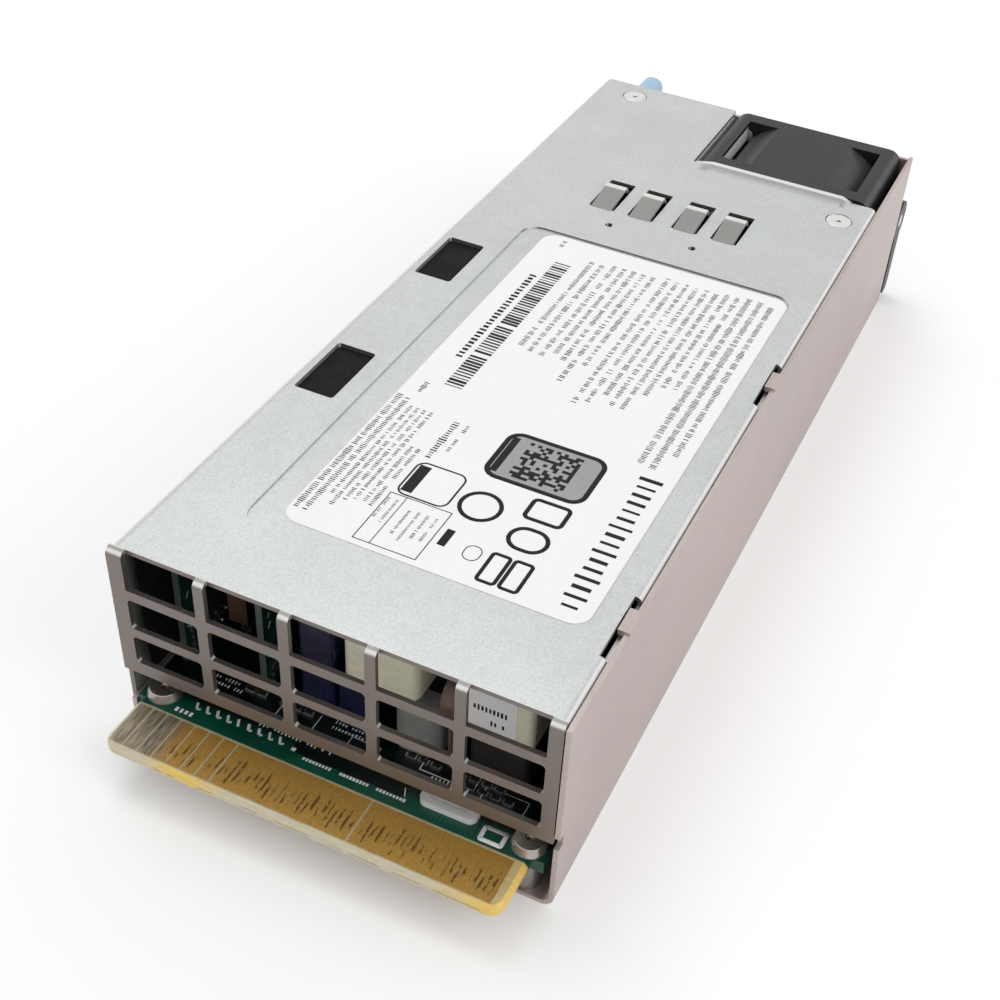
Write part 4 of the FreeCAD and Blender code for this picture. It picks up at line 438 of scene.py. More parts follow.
looks = {
    "zinc_steel": brushedZinc(),
    "galvanised_steel": galvanisedSheet(),
    "bright_sheet": plainMetal("brightSheet", (0.72, 0.71, 0.69), 0.38, metallic=0.35),
    "nickel_screw": plainMetal("nickelPlate", (0.74, 0.73, 0.715), 0.32, grain=2 * mm, depth=0.0,
                               metallic=0.8),
    "label_stock": plainSolid("labelStock", (0.965, 0.965, 0.968), 0.42, depth=0.001 * mm, spread=0.008,
                              cloud=0.006),
    "insulator_film": wovenFilm(),
    "board_laminate": boardFinish(),
    "gold_plate": goldContacts(),
    "chip_plastic": plainSolid("chipResin", (0.016, 0.016, 0.018), 0.5, spread=0.25),
    "copper": plainMetal("enamelledCopper", (0.060, 0.028, 0.017), 0.36),
    "blue_epoxy": plainSolid("blueEpoxy", (0.006, 0.0075, 0.046), 0.28, grain=3 * mm, spread=0.3),
    "cream_tape": wrappedTape("creamTape", (0.93, 0.89, 0.70)),
    "ferrite": plainSolid("ferrite", (0.030, 0.030, 0.034), 0.6, spread=0.25),
    "silicone": plainSolid("silicone", (0.30, 0.31, 0.31), 0.4, grain=2 * mm, depth=0.12 * mm),
    "disc_coat": plainSolid("discLacquer", (0.17, 0.105, 0.085), 0.4),
    "tinned_metal": plainMetal("tinPlate", (0.78, 0.78, 0.77), 0.22, grain=2 * mm, depth=0.0, metallic=0.9),
    "sink_aluminium": plainMetal("sinkAluminium", (0.30, 0.31, 0.32), 0.4),
    "can_sleeve": plainSolid("canSleeve", (0.015, 0.015, 0.026), 0.3, depth=0.004 * mm),
    "fuse_ceramic": plainSolid("fuseCeramic", (0.72, 0.70, 0.66), 0.5, spread=0.04),
    "black_nylon": mouldedNylon(),
    "bearing_bronze": plainMetal("bearingBronze", (0.50, 0.34, 0.17), 0.4),
    "shaft_steel": plainMetal("groundSteel", (0.62, 0.62, 0.63), 0.2),
    "lead_sleeve": plainSolid("leadSleeve", (0.025, 0.025, 0.026), 0.6, depth=0.02 * mm),
    "clear_pipe": clearPlastic("clearPipe", (0.80, 0.86, 0.82), 0.12, 0.85),
    "blue_tab": clearPlastic("blueTab", (0.52, 0.77, 0.98), 0.25, 0.25),
}
ownLooks = {  # nodes whose finish differs from their slot's usual one
    "control_board": daughterFinish(), "rectifier_board": daughterFinish(),
    "standby_bobbin": plainSolid("formerResin", (0.012, 0.011, 0.011), 0.5, spread=0.25),
    # painted light: the divider is whiter and less metallic than its sheet so it shows bright in shade
    "fan_divider": plainMetal("brightDivider", (0.90, 0.90, 0.885), 0.4, metallic=0.15),
    "cover_screws": recessedScrew("cover_screws"),
    "board_screws": plainMetal("boardScrew", (0.46, 0.42, 0.39), 0.26, grain=2 * mm, depth=0.0,
                               metallic=0.85),
    # painted shade: the standoffs are darker than plain zinc where they sit under the board
    "board_standoffs": plainMetal("standoffZinc", (0.33, 0.32, 0.31), 0.4),
    # painted light: the shunt is near white and barely metallic so it shows bright in the grille's shade
    "sense_shunt": plainMetal("brightShunt", (0.96, 0.96, 0.95), 0.2, grain=2 * mm, depth=0.0,
                              metallic=0.05),
}
print("materials made")

# mesh helpers
bodyOf = {node: body for body, nodes in frame["record"]["behaviour"]["bodies"].items() for node in nodes}
slotOf = {row["node"]: row["material_slot"] for row in frame["record"]["subparts"]}


def lookOf(node):
    return ownLooks.get(node, looks[slotOf[node]])


def shown(obj, material, body):  # gives a finished piece its material, puts it in the scene and hangs it on its body
    obj.data.materials.clear()
    obj.data.materials.append(material)
    if obj.name not in scene.collection.all_objects:
        scene.collection.objects.link(obj)
    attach(obj, body)


def applyModifiers(obj):
    bpy.context.view_layer.update()
    graph = bpy.context.evaluated_depsgraph_get()
    mesh = bpy.data.meshes.new_from_object(obj.evaluated_get(graph))
    obj.modifiers.clear()
    obj.data = mesh


softEdge = {
    "merge": 0.0005 * mm, "level": 0.6,  # corners closer and faces flatter than this are made one
    "sharpest": 38, "segments": 2,  # edges that turn by more degrees are broken
    "crease": 60, "fold": 5, "broad": 1.5 * mm,  # edges kept crisp: any, and between faces this broad
}
brokenEdges = {  # node: width of its broken edges in millimetres
    "top_cover": 0.10, "chassis": 0.10, "fan_frame": 0.15, "fan_impeller": 0.08, "fan_guard": 0.12,
    "handle": 0.25, "mains_inlet": 0.15, "latch_leaf": 0.08, "latch_tab": 0.30, "latch_root": 0.08,
    "main_board": 0.06, "cover_screws": 0.08, "board_screws": 0.10, "fan_screws": 0.10, "sense_shunt": 0.12,
    "inlet_blades": 0.15, "fan_divider": 0.06, "handle_pins": 0.12, "latch_rivets": 0.10,
    "transformer_winding": 0.20, "standby_transformer": 0.20, "standby_bobbin": 0.15,
    "film_capacitors": 0.20, "silicone_bead": 0.20, "surge_limiter": 0.30, "output_busbar": 0.15,
    "control_board": 0.05, "rectifier_board": 0.05, "transformer_core": 0.20, "bulk_capacitor": 0.30,
    "output_capacitors": 0.20, "edge_contacts": 0.015, "rating_label": 0.02, "light_pipe": 0.10,
}


def creased(work):  # flat sheets that meet at a slight angle keep a crisp line between them
    wide = {}
    for face in work.faces:
        face.smooth = True
        wide[face] = 2 * face.calc_area() / max(face.calc_perimeter(), 1e-9)
    for edge in work.edges:
        if len(edge.link_faces) != 2:
            continue
        turn = edge.calc_face_angle(0)
        flat = min(wide[face] for face in edge.link_faces) > softEdge["broad"] / 2
        edge.smooth = not (turn > math.radians(softEdge["crease"])
                           or flat and turn > math.radians(softEdge["fold"]))


def softened(node, width):  # a copy of a solid with slightly broken edges, shown in its place
    mesh = frame["nodes"][node].data.copy()
    work = bmesh.new()
    work.from_mesh(mesh)
    bmesh.ops.remove_doubles(work, verts=work.verts, dist=softEdge["merge"])
    bmesh.ops.dissolve_limit(work, angle_limit=math.radians(softEdge["level"]), verts=work.verts,
                             edges=work.edges)
    creased(work)
    work.to_mesh(mesh)
    work.free()
    obj = bpy.data.objects.new(node + "_edges", mesh)
    scene.collection.objects.link(obj)
    bevel = obj.modifiers.new("edges", "BEVEL")
    bevel.width = width
    bevel.segments = softEdge["segments"]
    bevel.limit_method = "ANGLE"
    bevel.angle_limit = math.radians(softEdge["sharpest"])
    bevel.miter_outer = "MITER_ARC"
    evened = obj.modifiers.new("flats", "WEIGHTED_NORMAL")  # keeps the large faces flat in the light
    evened.keep_sharp = True
    evened.weight = 100
    applyModifiers(obj)
    shown(obj, lookOf(node), bodyOf[node])
    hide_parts(node)


# geometry trees
class Growth:  # a geometry tree with named inputs and short ways to add nodes
    def __init__(self, name, inputs):
        self.tree = bpy.data.node_groups.new(name, "GeometryNodeTree")
        self.tree.interface.new_socket("Geometry", in_out="OUTPUT", socket_type="NodeSocketGeometry")
        kinds = {float: "NodeSocketFloat", int: "NodeSocketInt", type(None): "NodeSocketMaterial"}
        self.sockets = {}
        for label, value in {**inputs, "Material": None}.items():
            socket = self.tree.interface.new_socket(label, in_out="INPUT", socket_type=kinds[type(value)])
            if value is not None:
                socket.default_value = value
            self.sockets[label] = socket.identifier
        self.entry = self.tree.nodes.new("NodeGroupInput")

    def given(self, label):
        return self.entry.outputs[label]

    def add(self, kind, links=None, **settings):
        node = self.tree.nodes.new(kind)
        for key, value in settings.items():
            setattr(node, key, value)
        for key, value in (links or {}).items():
            if isinstance(value, bpy.types.NodeSocket):
                self.tree.links.new(value, node.inputs[key])
            else:
                node.inputs[key].default_value = value
        return node

    def math(self, operation, first, second=0.0):
        return self.add("ShaderNodeMath", {0: first, 1: second}, operation=operation).outputs[0]

    def vector(self, x, y, z):
        return self.add("ShaderNodeCombineXYZ", {0: x, 1: y, 2: z}).outputs[0]

    def chance(self, low, high, shift=0, key=None):  # one random number for each point, or each key
        seed = self.math("ADD", self.given("Seed"), shift)
        links = {2: low, 3: high, "Seed": seed}
        if key is not None:
            links["ID"] = key
        return self.add("FunctionNodeRandomValue", links, data_type="FLOAT").outputs[1]

    def end(self, geometry):
        real = self.add("GeometryNodeRealizeInstances", {0: geometry}).outputs[0]
        dressed = self.add("GeometryNodeSetMaterial", {"Geometry": real, "Material": self.given("Material")})
        leave = self.tree.nodes.new("NodeGroupOutput")
        self.tree.links.new(dressed.outputs[0], leave.inputs[0])
        return self


def rowsTree(name, kind, **settings):  # rows of one small shape, with gaps and ragged ends like lines of type
    grow = Growth(name, {
        "Length": 10 * mm, "Rows": 1, "Row Pitch": 1 * mm, "Step": 0.6 * mm, "Wide": 0.7, "Tall": 0.8 * mm,
        "Thick": 0.02 * mm, "Vary": 0.35, "Even": 0.0, "Gaps": 0.15, "Ragged": 0.3, "Lean": 0.0, "Seed": 1})
    length, rows, step, vary = (grow.given(label) for label in ("Length", "Rows", "Step", "Vary"))
    count = grow.math("ROUND", grow.math("DIVIDE", length, step))
    depth = grow.math("MULTIPLY", grow.math("SUBTRACT", rows, 1), grow.given("Row Pitch"))
    span = grow.math("MULTIPLY", grow.math("SUBTRACT", count, 1), step)
    grid = grow.add("GeometryNodeMeshGrid", {"Size X": span, "Size Y": depth, "Vertices X": count,
                                             "Vertices Y": rows})
    place = grow.add("ShaderNodeSeparateXYZ", {0: grow.add("GeometryNodeInputPosition").outputs[0]})
    line = grow.math("ROUND", grow.math("DIVIDE", place.outputs[1], grow.given("Row Pitch")))
    start = grow.math("ADD", place.outputs[0], grow.math("MULTIPLY", length, 0.5))
    ragged = grow.math("MULTIPLY", grow.chance(0.0, 1.0, 7, line), grow.given("Ragged"))
    reach = grow.math("MULTIPLY", length, grow.math("SUBTRACT", 1.001, ragged))
    missing = grow.math("LESS_THAN", grow.chance(0.0, 1.0), grow.given("Gaps"))
    beyond = grow.math("GREATER_THAN", start, reach)
    lost = grow.math("MAXIMUM", missing, beyond)
    kept = grow.add("GeometryNodeDeleteGeometry", {"Geometry": grid.outputs[0], "Selection": lost},
                    domain="POINT").outputs[0]
    form = grow.add(kind, settings).outputs[0]
    broad = grow.chance(grow.math("SUBTRACT", 1.0, vary), 1.0, 3)
    uneven = grow.math("MULTIPLY", vary, grow.math("SUBTRACT", 1.0, grow.given("Even")))  # none at Even 1
    high = grow.chance(grow.math("SUBTRACT", 1.0, uneven), 1.0, 5)
    size = grow.vector(grow.math("MULTIPLY", grow.math("MULTIPLY", step, grow.given("Wide")), broad),
                       grow.math("MULTIPLY", grow.given("Tall"), high), grow.given("Thick"))
    lean = grow.vector(0.0, 0.0, grow.given("Lean"))
    stamped = grow.add("GeometryNodeInstanceOnPoints", {"Points": kept, "Instance": form, "Scale": size,
                                                        "Rotation": lean})
    return grow.end(stamped.outputs[0])


def ruledFrameTree():  # one ruled outline with rounded corners
    grow = Growth("ruledFrame", {"Across": 8 * mm, "Along": 5 * mm, "Corner": 1 * mm, "Line": 0.25 * mm,
                                 "Thick": 0.02 * mm})
    path = grow.add("GeometryNodeCurvePrimitiveQuadrilateral",
                    {"Width": grow.given("Across"), "Height": grow.given("Along")}).outputs[0]
    rounded = grow.add("GeometryNodeFilletCurve", {"Curve": path, "Radius": grow.given("Corner"),
                                                   "Count": 6}, mode="POLY").outputs[0]
    section = grow.add("GeometryNodeCurvePrimitiveQuadrilateral",
                       {"Width": grow.given("Line"), "Height": grow.given("Thick")}).outputs[0]
    swept = grow.add("GeometryNodeCurveToMesh", {"Curve": rounded, "Profile Curve": section,
                                                 "Fill Caps": True}).outputs[0]
    return grow.end(swept)


blockRows = rowsTree("printedRows", "GeometryNodeMeshCube")
domeRows = rowsTree("solderRows", "GeometryNodeMeshUVSphere", Segments=12, Rings=8, Radius=0.5)
ruledFrame = ruledFrameTree()


def grown(growth, material, at, across, along, **inputs):  # one grown mesh, laid in place
    holder = bpy.data.objects.new("holder", bpy.data.meshes.new("holder"))
    scene.collection.objects.link(holder)
    modifier = holder.modifiers.new("growth", "NODES")
    modifier.node_group = growth.tree
    modifier[growth.sockets["Material"]] = material
    for label, value in inputs.items():
        modifier[growth.sockets[label.replace("_", " ")]] = value
    graph = bpy.context.evaluated_depsgraph_get()
    mesh = bpy.data.meshes.new_from_object(holder.evaluated_get(graph))
    bpy.data.objects.remove(holder)
    across, along = Vector(across), Vector(along)
    turned = Matrix((across, along, across.cross(along))).transposed().to_4x4()
    mesh.transform(Matrix.Translation(Vector(at)) @ turned)
    return mesh


def joined(name, meshes, material):  # several grown meshes as one plain piece on the case
    work = bmesh.new()
    for mesh in meshes:
        work.from_mesh(mesh)
        bpy.data.meshes.remove(mesh)
    for face in work.faces:
        face.material_index = 0
    mesh = bpy.data.meshes.new(name)
    work.to_mesh(mesh)
    work.free()
    shown(bpy.data.objects.new(name, mesh), material, "case")


# label printing: plain bars and boxes where a label carries words
reading, headUp = (0, -1, 0), (1, 0, 0)  # lines run towards the card edge, their tops to the fan side
labelPrint = {
    "ink": (0.010, 0.010, 0.012), "greyInk": (0.36, 0.36, 0.37), "thick": 0.02 * mm,
    # small lines: from the label's left edge, from its card edge end to their start, rows, pitch, length,
    # stroke step, height, share of gaps, how ragged their ends are
    "lines": [
        (46.9, 92.2, 1, 1.8, 50.0, 0.44, 1.25, 0.16, 0.0), (44.7, 93.0, 1, 1.8, 56.0, 0.4, 1.35, 0.06, 0.0),
        (42.5, 93.0, 1, 1.8, 55.0, 0.4, 1.35, 0.08, 0.0), (39.4, 92.4, 2, 2.0, 36.0, 0.46, 1.1, 0.24, 0.1),
        (31.6, 92.0, 6, 1.95, 46.0, 0.46, 1.1, 0.24, 0.22),
        (20.2, 91.0, 5, 1.95, 40.0, 0.44, 1.1, 0.24, 0.22),
        (13.0, 90.0, 2, 2.1, 33.0, 0.42, 1.15, 0.18, 0.05),
        (4.4, 94.6, 1, 1.0, 3.0, 0.5, 1.0, 0.1, 0.0), (3.2, 40.5, 1, 1.0, 3.0, 0.45, 1.1, 0.05, 0.0),
        (1.7, 35.6, 2, 1.55, 33.0, 0.44, 1.15, 0.07, 0.05),
        (5.9, 33.5, 4, 1.25, 30.0, 0.4, 0.8, 0.22, 0.25), (9.9, 24.0, 2, 1.25, 17.0, 0.4, 0.8, 0.22, 0.3),
        (12.6, 33.2, 1, 2.0, 11.0, 0.62, 1.45, 0.1, 0.0), (14.6, 33.2, 1, 2.0, 8.0, 0.45, 0.8, 0.15, 0.0),
        (12.9, 11.6, 2, 1.4, 7.0, 0.34, 0.6, 0.2, 0.25), (18.6, 10.6, 4, 1.5, 8.0, 0.34, 0.6, 0.2, 0.35),
    ],
    # bars and code squares: from left, from end to start, length, rows, height, module, bar's share of it,
    # how much the bars vary, share of gaps
    "codes": [(7.4, 87.0, 46.0, 1, 3.2, 0.86, 0.78, 0.80, 0.04),
              (30.0, 34.2, 9.2, 14, 0.66, 0.66, 1.0, 0.0, 0.5)],
    # digits by the bars and a scale of plain ticks: from left, from end to start, length, step, height
    "digits": (4.2, 80.5, 31.0, 1.15, 1.35), "ticks": (45.8, 35.6, 33.6, 2.10, 4.0),
    # outlines: centre from left, centre from end, length along the lines, across them, corner, line
    "boxes": [(30.0, 29.6, 11.6, 16.6, 2.2, 0.85), (16.4, 17.4, 8.3, 8.4, 1.5, 0.30),
              (17.0, 7.0, 11.6, 10.4, 0.02, 0.14), (13.2, 7.0, 11.6, 2.8, 0.02, 0.12),
              (25.2, 16.3, 6.4, 6.4, 3.18, 0.70), (34.8, 19.7, 4.6, 6.0, 0.8, 0.70),
              (34.8, 12.8, 4.8, 6.0, 2.38, 0.70), (33.0, 4.9, 6.2, 2.8, 0.5, 0.60),
              (36.6, 4.9, 6.2, 2.8, 0.5, 0.60), (28.8, 6.4, 3.2, 2.6, 1.25, 0.14)],
    # solid blocks: centre from left, centre from end, along, across
    "solids": [(13.6, 17.4, 6.8, 1.9), (23.9, 7.6, 3.8, 1.3), (22.9, 29.6, 9.4, 1.2)],
    "panel": (30.0, 29.6, 11.0, 16.0),  # a grey panel under the code squares
    "lifts": (0.5, 1.2, 1.5),  # height over the label in thicknesses: lines, outlines and blocks, codes
}


def printLabel():
    low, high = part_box("rating_label")
    ink = plainSolid("labelInk", labelPrint["ink"], 0.7, spread=0.1, depth=0.0, Specular_IOR_Level=0.25)
    grey = plainSolid("labelGrey", labelPrint["greyInk"], 0.6, spread=0.03, depth=0.0)
    thick = labelPrint["thick"]
    onLabel, onPanel, onTop = labelPrint["lifts"]
    made = []

    def spot(fromLeft, fromEnd, lift):
        return (low.x + fromLeft * mm, low.y + fromEnd * mm, high.z + thick * lift)

    def rows(fromLeft, start, length, step, tall, seed, lift=onLabel, **inputs):
        return grown(blockRows, ink, spot(fromLeft, start - length / 2, lift), reading, headUp, Seed=seed,
                     Length=length * mm, Step=step * mm, Tall=tall * mm, Thick=thick, **inputs)

    def block(fromLeft, fromEnd, along, across, seed, lift):
        return rows(fromLeft, fromEnd + along / 2, along, along, across, seed, lift, Wide=1.0, Vary=0.0,
                    Gaps=0.0, Ragged=0.0)

    for seed, (left, start, count, pitch, length, step, tall, gaps, ragged) in enumerate(labelPrint["lines"]):
        made.append(rows(left, start, length, step, tall, seed, Rows=count, Row_Pitch=pitch * mm, Wide=0.52,
                         Vary=0.5, Gaps=gaps, Ragged=ragged))
    for seed, row in enumerate(labelPrint["codes"]):
        left, start, length, count, tall, module, wide, vary, gaps = row
        made.append(rows(left, start, length, module, tall, seed + 40, onTop, Rows=count, Row_Pitch=tall * mm,
                         Wide=wide, Vary=vary, Gaps=gaps, Ragged=0.0, Even=1.0))
    made.append(rows(*labelPrint["digits"], 60, Wide=0.62, Vary=0.3, Gaps=0.03, Ragged=0.0))
    made.append(rows(*labelPrint["ticks"], 62, Wide=0.40, Vary=0.4, Gaps=0.0, Ragged=0.0))
    for left, end, along, across, corner, line in labelPrint["boxes"]:
        made.append(grown(ruledFrame, ink, spot(left, end, onPanel), reading, headUp, Across=along * mm,
                          Along=across * mm, Corner=corner * mm, Line=line * mm, Thick=thick))
    made += [block(*row, 63, onPanel) for row in labelPrint["solids"]]
    joined("label_printing", made, ink)
    joined("label_panel", [block(*labelPrint["panel"], 64, onLabel)], grey)


# white marks printed on the main board
boardMarks = {
    "ink": (0.93, 0.94, 0.92), "thick": 0.02 * mm,
    # near the contacts: from the board's left edge, length, behind the contacts, step, stroke's share of it,
    # height, lean, share of gaps
    "marks": [(8.0, 17.5, 3.6, 1.86, 0.26, 1.5, 0.45, 0.0), (8.6, 17.5, 3.1, 1.86, 0.36, 0.42, 0.45, 0.1),
              (26.5, 0.8, 3.05, 0.8, 1.0, 0.7, 0.0, 0.0), (45.5, 0.4, 3.6, 0.4, 0.45, 1.8, 0.4, 0.0),
              (6.4, 3.6, 1.65, 0.85, 0.66, 0.85, 0.0, 0.0), (29.0, 4.9, 2.2, 0.56, 0.78, 0.6, 0.0, 0.05),
              (35.4, 4.9, 2.2, 0.56, 0.78, 0.6, 0.0, 0.05), (41.6, 4.9, 2.2, 0.56, 0.78, 0.6, 0.0, 0.05)],
    # from left, behind the grille, rows, length, height
    "inside": [(19.5, 4.5, 2, 13.0, 0.9), (36.0, 5.0, 2, 9.0, 0.8), (47.5, 6.0, 2, 8.0, 0.9),
               (58.5, 5.0, 2, 8.5, 0.9), (29.5, 9.5, 3, 6.0, 0.8), (62.0, 11.0, 2, 6.0, 0.9),
               (8.0, 8.5, 2, 6.0, 0.8)],
    # from left, behind the grille, across, along
    "outlines": [(59.5, 6.5, 7.0, 5.0), (36.0, 6.0, 5.0, 4.0), (50.0, 9.5, 9.0, 4.5), (24.0, 8.0, 6.5, 4.5)],
    "badge": (60.8, 2.4, 3.4, 2.3),  # a plain box before the right screw: from left, behind, across, along
}


def printBoard():
    low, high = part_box("main_board")
    rear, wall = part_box("edge_contacts")[1].y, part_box("top_cover")[0].y
    ink = plainSolid("boardInk", boardMarks["ink"], 0.6, spread=0.05, depth=0.0)
    thick = boardMarks["thick"]
    made = []

    def lay(tree, fromLeft, y, **inputs):
        made.append(grown(tree, ink, (low.x + fromLeft * mm, y, high.z + thick / 2), (1, 0, 0), (0, 1, 0),
                          Thick=thick, **inputs))

    for seed, (left, length, behind, step, stroke, tall, lean, gaps) in enumerate(boardMarks["marks"]):
        lay(blockRows, left + length / 2, rear + behind * mm, Length=length * mm, Step=step * mm, Wide=stroke,
            Tall=tall * mm, Lean=lean, Gaps=gaps, Ragged=0.0, Vary=0.25, Seed=seed + 5)
    for seed, (left, deep, rows, length, tall) in enumerate(boardMarks["inside"]):
        lay(blockRows, left + length / 2, wall + deep * mm, Length=length * mm, Rows=rows,
            Row_Pitch=tall * 1.5 * mm, Step=tall * 0.72 * mm, Wide=0.62, Tall=tall * mm, Gaps=0.14,
            Ragged=0.2, Vary=0.5, Seed=seed + 20)
    for left, deep, across, along in boardMarks["outlines"]:
        lay(ruledFrame, left, wall + deep * mm, Across=across * mm, Along=along * mm, Corner=0.01 * mm,
            Line=0.16 * mm)
    left, behind, across, along = boardMarks["badge"]
    lay(ruledFrame, left, rear + behind * mm, Across=across * mm, Along=along * mm, Corner=0.2 * mm,
        Line=0.7 * mm)
    joined("board_markings", made, ink)


# parts, marks and solder on the boards
boardParts = {
    "chip": (1.25 * mm, 0.6875 * mm, 0.55 * mm),  # a two terminal part: long, broad, tall
    "ends": (1.8125 * mm, 0.775 * mm, 0.385 * mm),  # the tinned bar through it that shows as its ends
    "pitch": 2.1 * mm, "rowPitch": 1.575 * mm, "missing": 0.3,
    # on the main board: from left, behind the grille, columns, rows
    "fields": [(20.0, 10.5, 6, 3), (46.5, 9.5, 4, 2), (56.0, 9.0, 5, 3), (12.0, 20.0, 6, 3)],
    # on each upright board: columns, rows, behind its front edge, lifts off its middle
    "upright": (7, 3, 8.5, (-8.5, 9.5)),
    "solder": (0.72, 1.27, 8.0, 2.2, 14.0, 1.6),  # ball, step, behind, lift, length, row pitch
}
daughterMarks = {
    "ink": (0.62, 0.64, 0.61), "behind": 6 * mm, "length": 11 * mm, "rowPitch": 2.1 * mm, "tall": 2.0 * mm,
    "strokes": [(0.6, 1.5, 6.5), (-0.5, 2.2, 1.5), (0.9, 1.9, -5.0)],  # lean, step, lift off the middle
}


def populateBoards():
    low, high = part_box("main_board")
    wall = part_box("top_cover")[0].y
    resin, tin = looks["chip_plastic"], looks["tinned_metal"]
    ink = plainSolid("daughterInk", daughterMarks["ink"], 0.6, spread=0.05, depth=0.0)
    bodies, ends, solder, marks = [], [], [], []
    pitch, thick = boardParts["pitch"], boardMarks["thick"]
    sunk = boardParts["chip"][2] * 0.4  # a part's middle over its board

    def field(at, across, along, columns, rows, seed):  # two terminal parts in a field, with some left out
        for made, look, (long, broad, tall) in ((bodies, resin, boardParts["chip"]),
                                                (ends, tin, boardParts["ends"])):
            made.append(grown(blockRows, look, at, across, along, Length=columns * pitch, Rows=rows,
                              Row_Pitch=boardParts["rowPitch"], Step=pitch, Wide=long / pitch, Tall=broad,
                              Thick=tall, Gaps=boardParts["missing"], Ragged=0.0, Vary=0.0, Seed=seed))

    for seed, (left, deep, columns, rows) in enumerate(boardParts["fields"]):
        field((low.x + left * mm, wall + deep * mm, high.z + sunk), (1, 0, 0), (0, 1, 0), columns, rows,
              seed + 3)
    back, up = (0, 1, 0), (0, 0, 1)
    columns, rows, behind, lifts = boardParts["upright"]
    ball, step, solderBehind, solderLift, length, rowPitch = (size * mm for size in boardParts["solder"])
    for seed, node in enumerate(("control_board", "rectifier_board")):
        start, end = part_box(node)
        middle = (start.z + end.z) / 2
        for count, lift in enumerate(lifts):
            field((end.x + sunk, start.y + behind * mm, middle + lift * mm), back, up, columns, rows,
                  seed * 5 + count + 11)
        for lean, stroke, lift in daughterMarks["strokes"]:
            place = (end.x + thick, start.y + daughterMarks["behind"], middle + lift * mm)
            marks.append(grown(blockRows, ink, place, back, up, Length=daughterMarks["length"], Rows=2,
                               Row_Pitch=daughterMarks["rowPitch"], Step=stroke * mm, Wide=0.16,
                               Tall=daughterMarks["tall"], Lean=lean, Gaps=0.3, Ragged=0.2, Vary=0.5,
                               Seed=seed * 7 + 31, Thick=thick))
        solder.append(grown(domeRows, tin, (end.x, start.y + solderBehind, start.z + solderLift), back, up,
                            Length=length, Rows=2, Row_Pitch=rowPitch, Step=step, Wide=ball / step, Tall=ball,
                            Thick=ball, Gaps=0.2, Ragged=0.0, Vary=0.3, Seed=seed + 50))
    joined("small_parts", bodies, resin)
    joined("small_part_ends", ends, tin)
    joined("solder_joints", solder, tin)
    joined("daughter_markings", marks, ink)


# plain sticker on the block behind the last window
sticker = {
    "margin": 0.3 * mm, "right": 2.7 * mm, "drop": 8.3 * mm,  # in from the block's left, right and top
    "tall": 8.4 * mm, "thick": 0.12 * mm, "corner": 0.4 * mm,
    "bars": [(-0.2, 5.2, 5.6), (1.0, 2.7, 2.5)],  # off the middle, over the bottom, length
}


def makeSticker():
    low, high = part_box("standby_transformer")
    left, right = low.x + sticker["margin"], high.x - sticker["right"]
    top, tall, thick = high.z - sticker["drop"], sticker["tall"], sticker["thick"]
    middle, front = (left + right) / 2, low.y - thick
    work = bmesh.new()
    bmesh.ops.create_cube(work, size=1.0)
    bmesh.ops.scale(work, vec=(right - left, thick, tall), verts=work.verts)
    bmesh.ops.translate(work, vec=(middle, front + thick / 2, top - tall / 2), verts=work.verts)
    upright = [edge for edge in work.edges if abs((edge.verts[0].co - edge.verts[1].co).y) > thick / 2]
    bmesh.ops.bevel(work, geom=upright, offset=sticker["corner"], segments=4, affect="EDGES", profile=0.5)
    mesh = bpy.data.meshes.new("block_sticker")
    work.to_mesh(mesh)
    work.free()
    shown(bpy.data.objects.new("block_sticker", mesh), looks["label_stock"], "case")
    ink = bpy.data.materials["labelInk"]
    made = [grown(blockRows, ink, (middle + shift * mm, front, top - tall + lift * mm), (1, 0, 0), (0, 0, 1),
                  Length=length * mm, Step=0.62 * mm, Wide=0.66, Tall=1.15 * mm, Gaps=0.08, Ragged=0.0,
                  Vary=0.3, Thick=0.03 * mm, Seed=seed + 71)
            for seed, (shift, lift, length) in enumerate(sticker["bars"])]
    joined("block_sticker_printing", made, ink)


# stage, camera and light
def viewRays(tree):  # 1 for what the camera sees, straight or by reflection or through glass
    rays = tree.nodes.new("ShaderNodeLightPath")
    seen = rays.outputs["Is Camera Ray"]
    for name in ("Is Glossy Ray", "Is Transmission Ray"):
        most = tree.nodes.new("ShaderNodeMath")
        most.operation = "MAXIMUM"
        tree.links.new(seen, most.inputs[0])
        tree.links.new(rays.outputs[name], most.inputs[1])
        seen = most.outputs[0]
    return seen


stage = {
    "floor": (0.93, 0.93, 0.93), "half": 3.0, "drop": 0.02 * mm, "ambient": 0.66,
    "near": 0.45, "far": 1.3, "lift": 0.17, "farLift": 0.42,  # the floor pales between near and far
}
lamps = {"key": ((-0.40, 0.25, 1.15), 0.7, 3.0), "fill": ((1.0, -0.15, 0.75), 0.9, 3.0)}  # place, size, power
lampAim = Vector((0, 0, 0.02))


def makeStage():
    mesh = bpy.data.meshes.new("floor")
    half = stage["half"]
    mesh.from_pydata([(-half, -half, 0), (half, -half, 0), (half, half, 0), (-half, half, 0)], [],
                     [(0, 1, 2, 3)])
    floor = bpy.data.objects.new("floor", mesh)
    scene.collection.objects.link(floor)
    finish = Finish("paleFloor", stage["floor"], roughness=0.9, Specular_IOR_Level=0.0)
    finish.shader.inputs["Emission Color"].default_value = (1, 1, 1, 1)
    away = finish.add("VectorMath", finish.object(), operation="LENGTH").outputs["Value"]
    lift = finish.span(away, stage["near"], stage["far"], stage["lift"], stage["farLift"])
    finish.fill(finish.shader.inputs["Emission Strength"], finish.times(viewRays(finish.tree), lift))
    mesh.materials.append(finish.material)
    floor.location.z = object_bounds()[0][2] - stage["drop"]


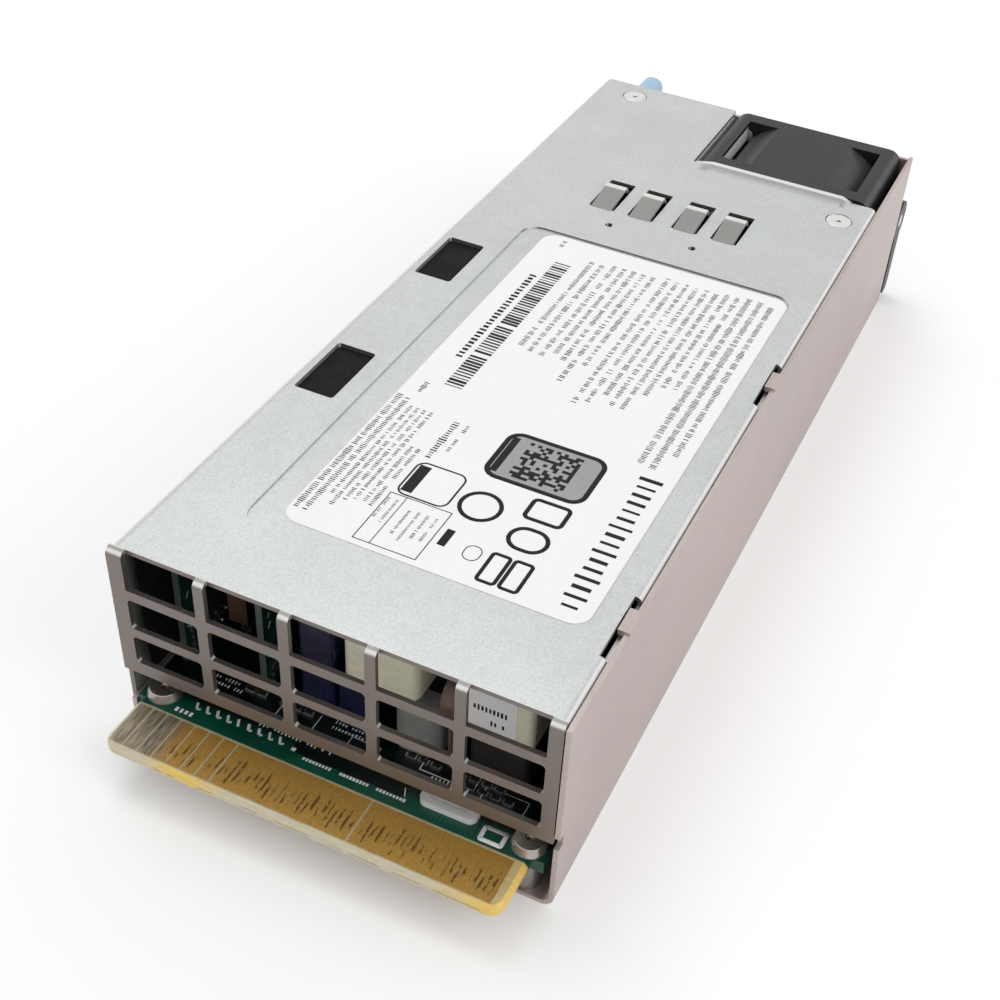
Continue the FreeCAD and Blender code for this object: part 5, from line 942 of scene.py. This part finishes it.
def makeWorld():
    world = bpy.data.worlds.new("studio")
    scene.world = world
    world.use_nodes = True
    tree = world.node_tree
    back = tree.nodes["Background"]
    back.inputs["Color"].default_value = (1, 1, 1, 1)
    level = tree.nodes.new("ShaderNodeMapRange")
    level.inputs["To Min"].default_value = stage["ambient"]
    level.inputs["To Max"].default_value = 1.0
    tree.links.new(viewRays(tree), level.inputs["Value"])
    tree.links.new(level.outputs[0], back.inputs["Strength"])


def makeLamp(name, place, size, power):
    data = bpy.data.lights.new(name, "AREA")
    data.shape = "DISK"
    data.size = size
    data.energy = power
    lamp = bpy.data.objects.new(name, data)
    lamp.location = place
    lamp.rotation_euler = (lampAim - Vector(place)).to_track_quat("-Z", "Y").to_euler()
    scene.collection.objects.link(lamp)


view = {
    "azimuth": 20.89, "elevation": 40.11, "roll": 5.18, "distance": 290.0 * mm,
    "target": (-1.64 * mm, -3.87 * mm, -3.75 * mm), "focal": 1.4675, "shift": -0.06,  # both in sensor widths
}


def makeCamera():
    turn, tilt, roll = (math.radians(view[key]) for key in ("azimuth", "elevation", "roll"))
    back = Vector((math.sin(turn) * math.cos(tilt), -math.cos(turn) * math.cos(tilt), math.sin(tilt)))
    right = (-back).cross(Vector((0, 0, 1))).normalized()
    up = right.cross(-back)
    across = right * math.cos(roll) + up * math.sin(roll)
    rise = up * math.cos(roll) - right * math.sin(roll)
    data = bpy.data.cameras.new("camera")
    data.sensor_width = 36.0
    data.lens = view["focal"] * data.sensor_width
    data.shift_x = view["shift"]
    data.clip_start = 0.01
    camera = bpy.data.objects.new("camera", data)
    turned = Matrix((across, rise, back)).transposed().to_4x4()
    camera.matrix_world = Matrix.Translation(Vector(view["target"]) + back * view["distance"]) @ turned
    scene.collection.objects.link(camera)
    scene.camera = camera


for node, obj in frame["nodes"].items():
    obj.data.materials.clear()
    obj.data.materials.append(lookOf(node))
for node, width in brokenEdges.items():
    softened(node, width * mm)
print("solids dressed")
printLabel()
printBoard()
populateBoards()
makeSticker()
print("printing and board parts made")

makeStage()
makeWorld()
for name, (place, size, power) in lamps.items():
    makeLamp(name, place, size, power)
makeCamera()
print("stage set")
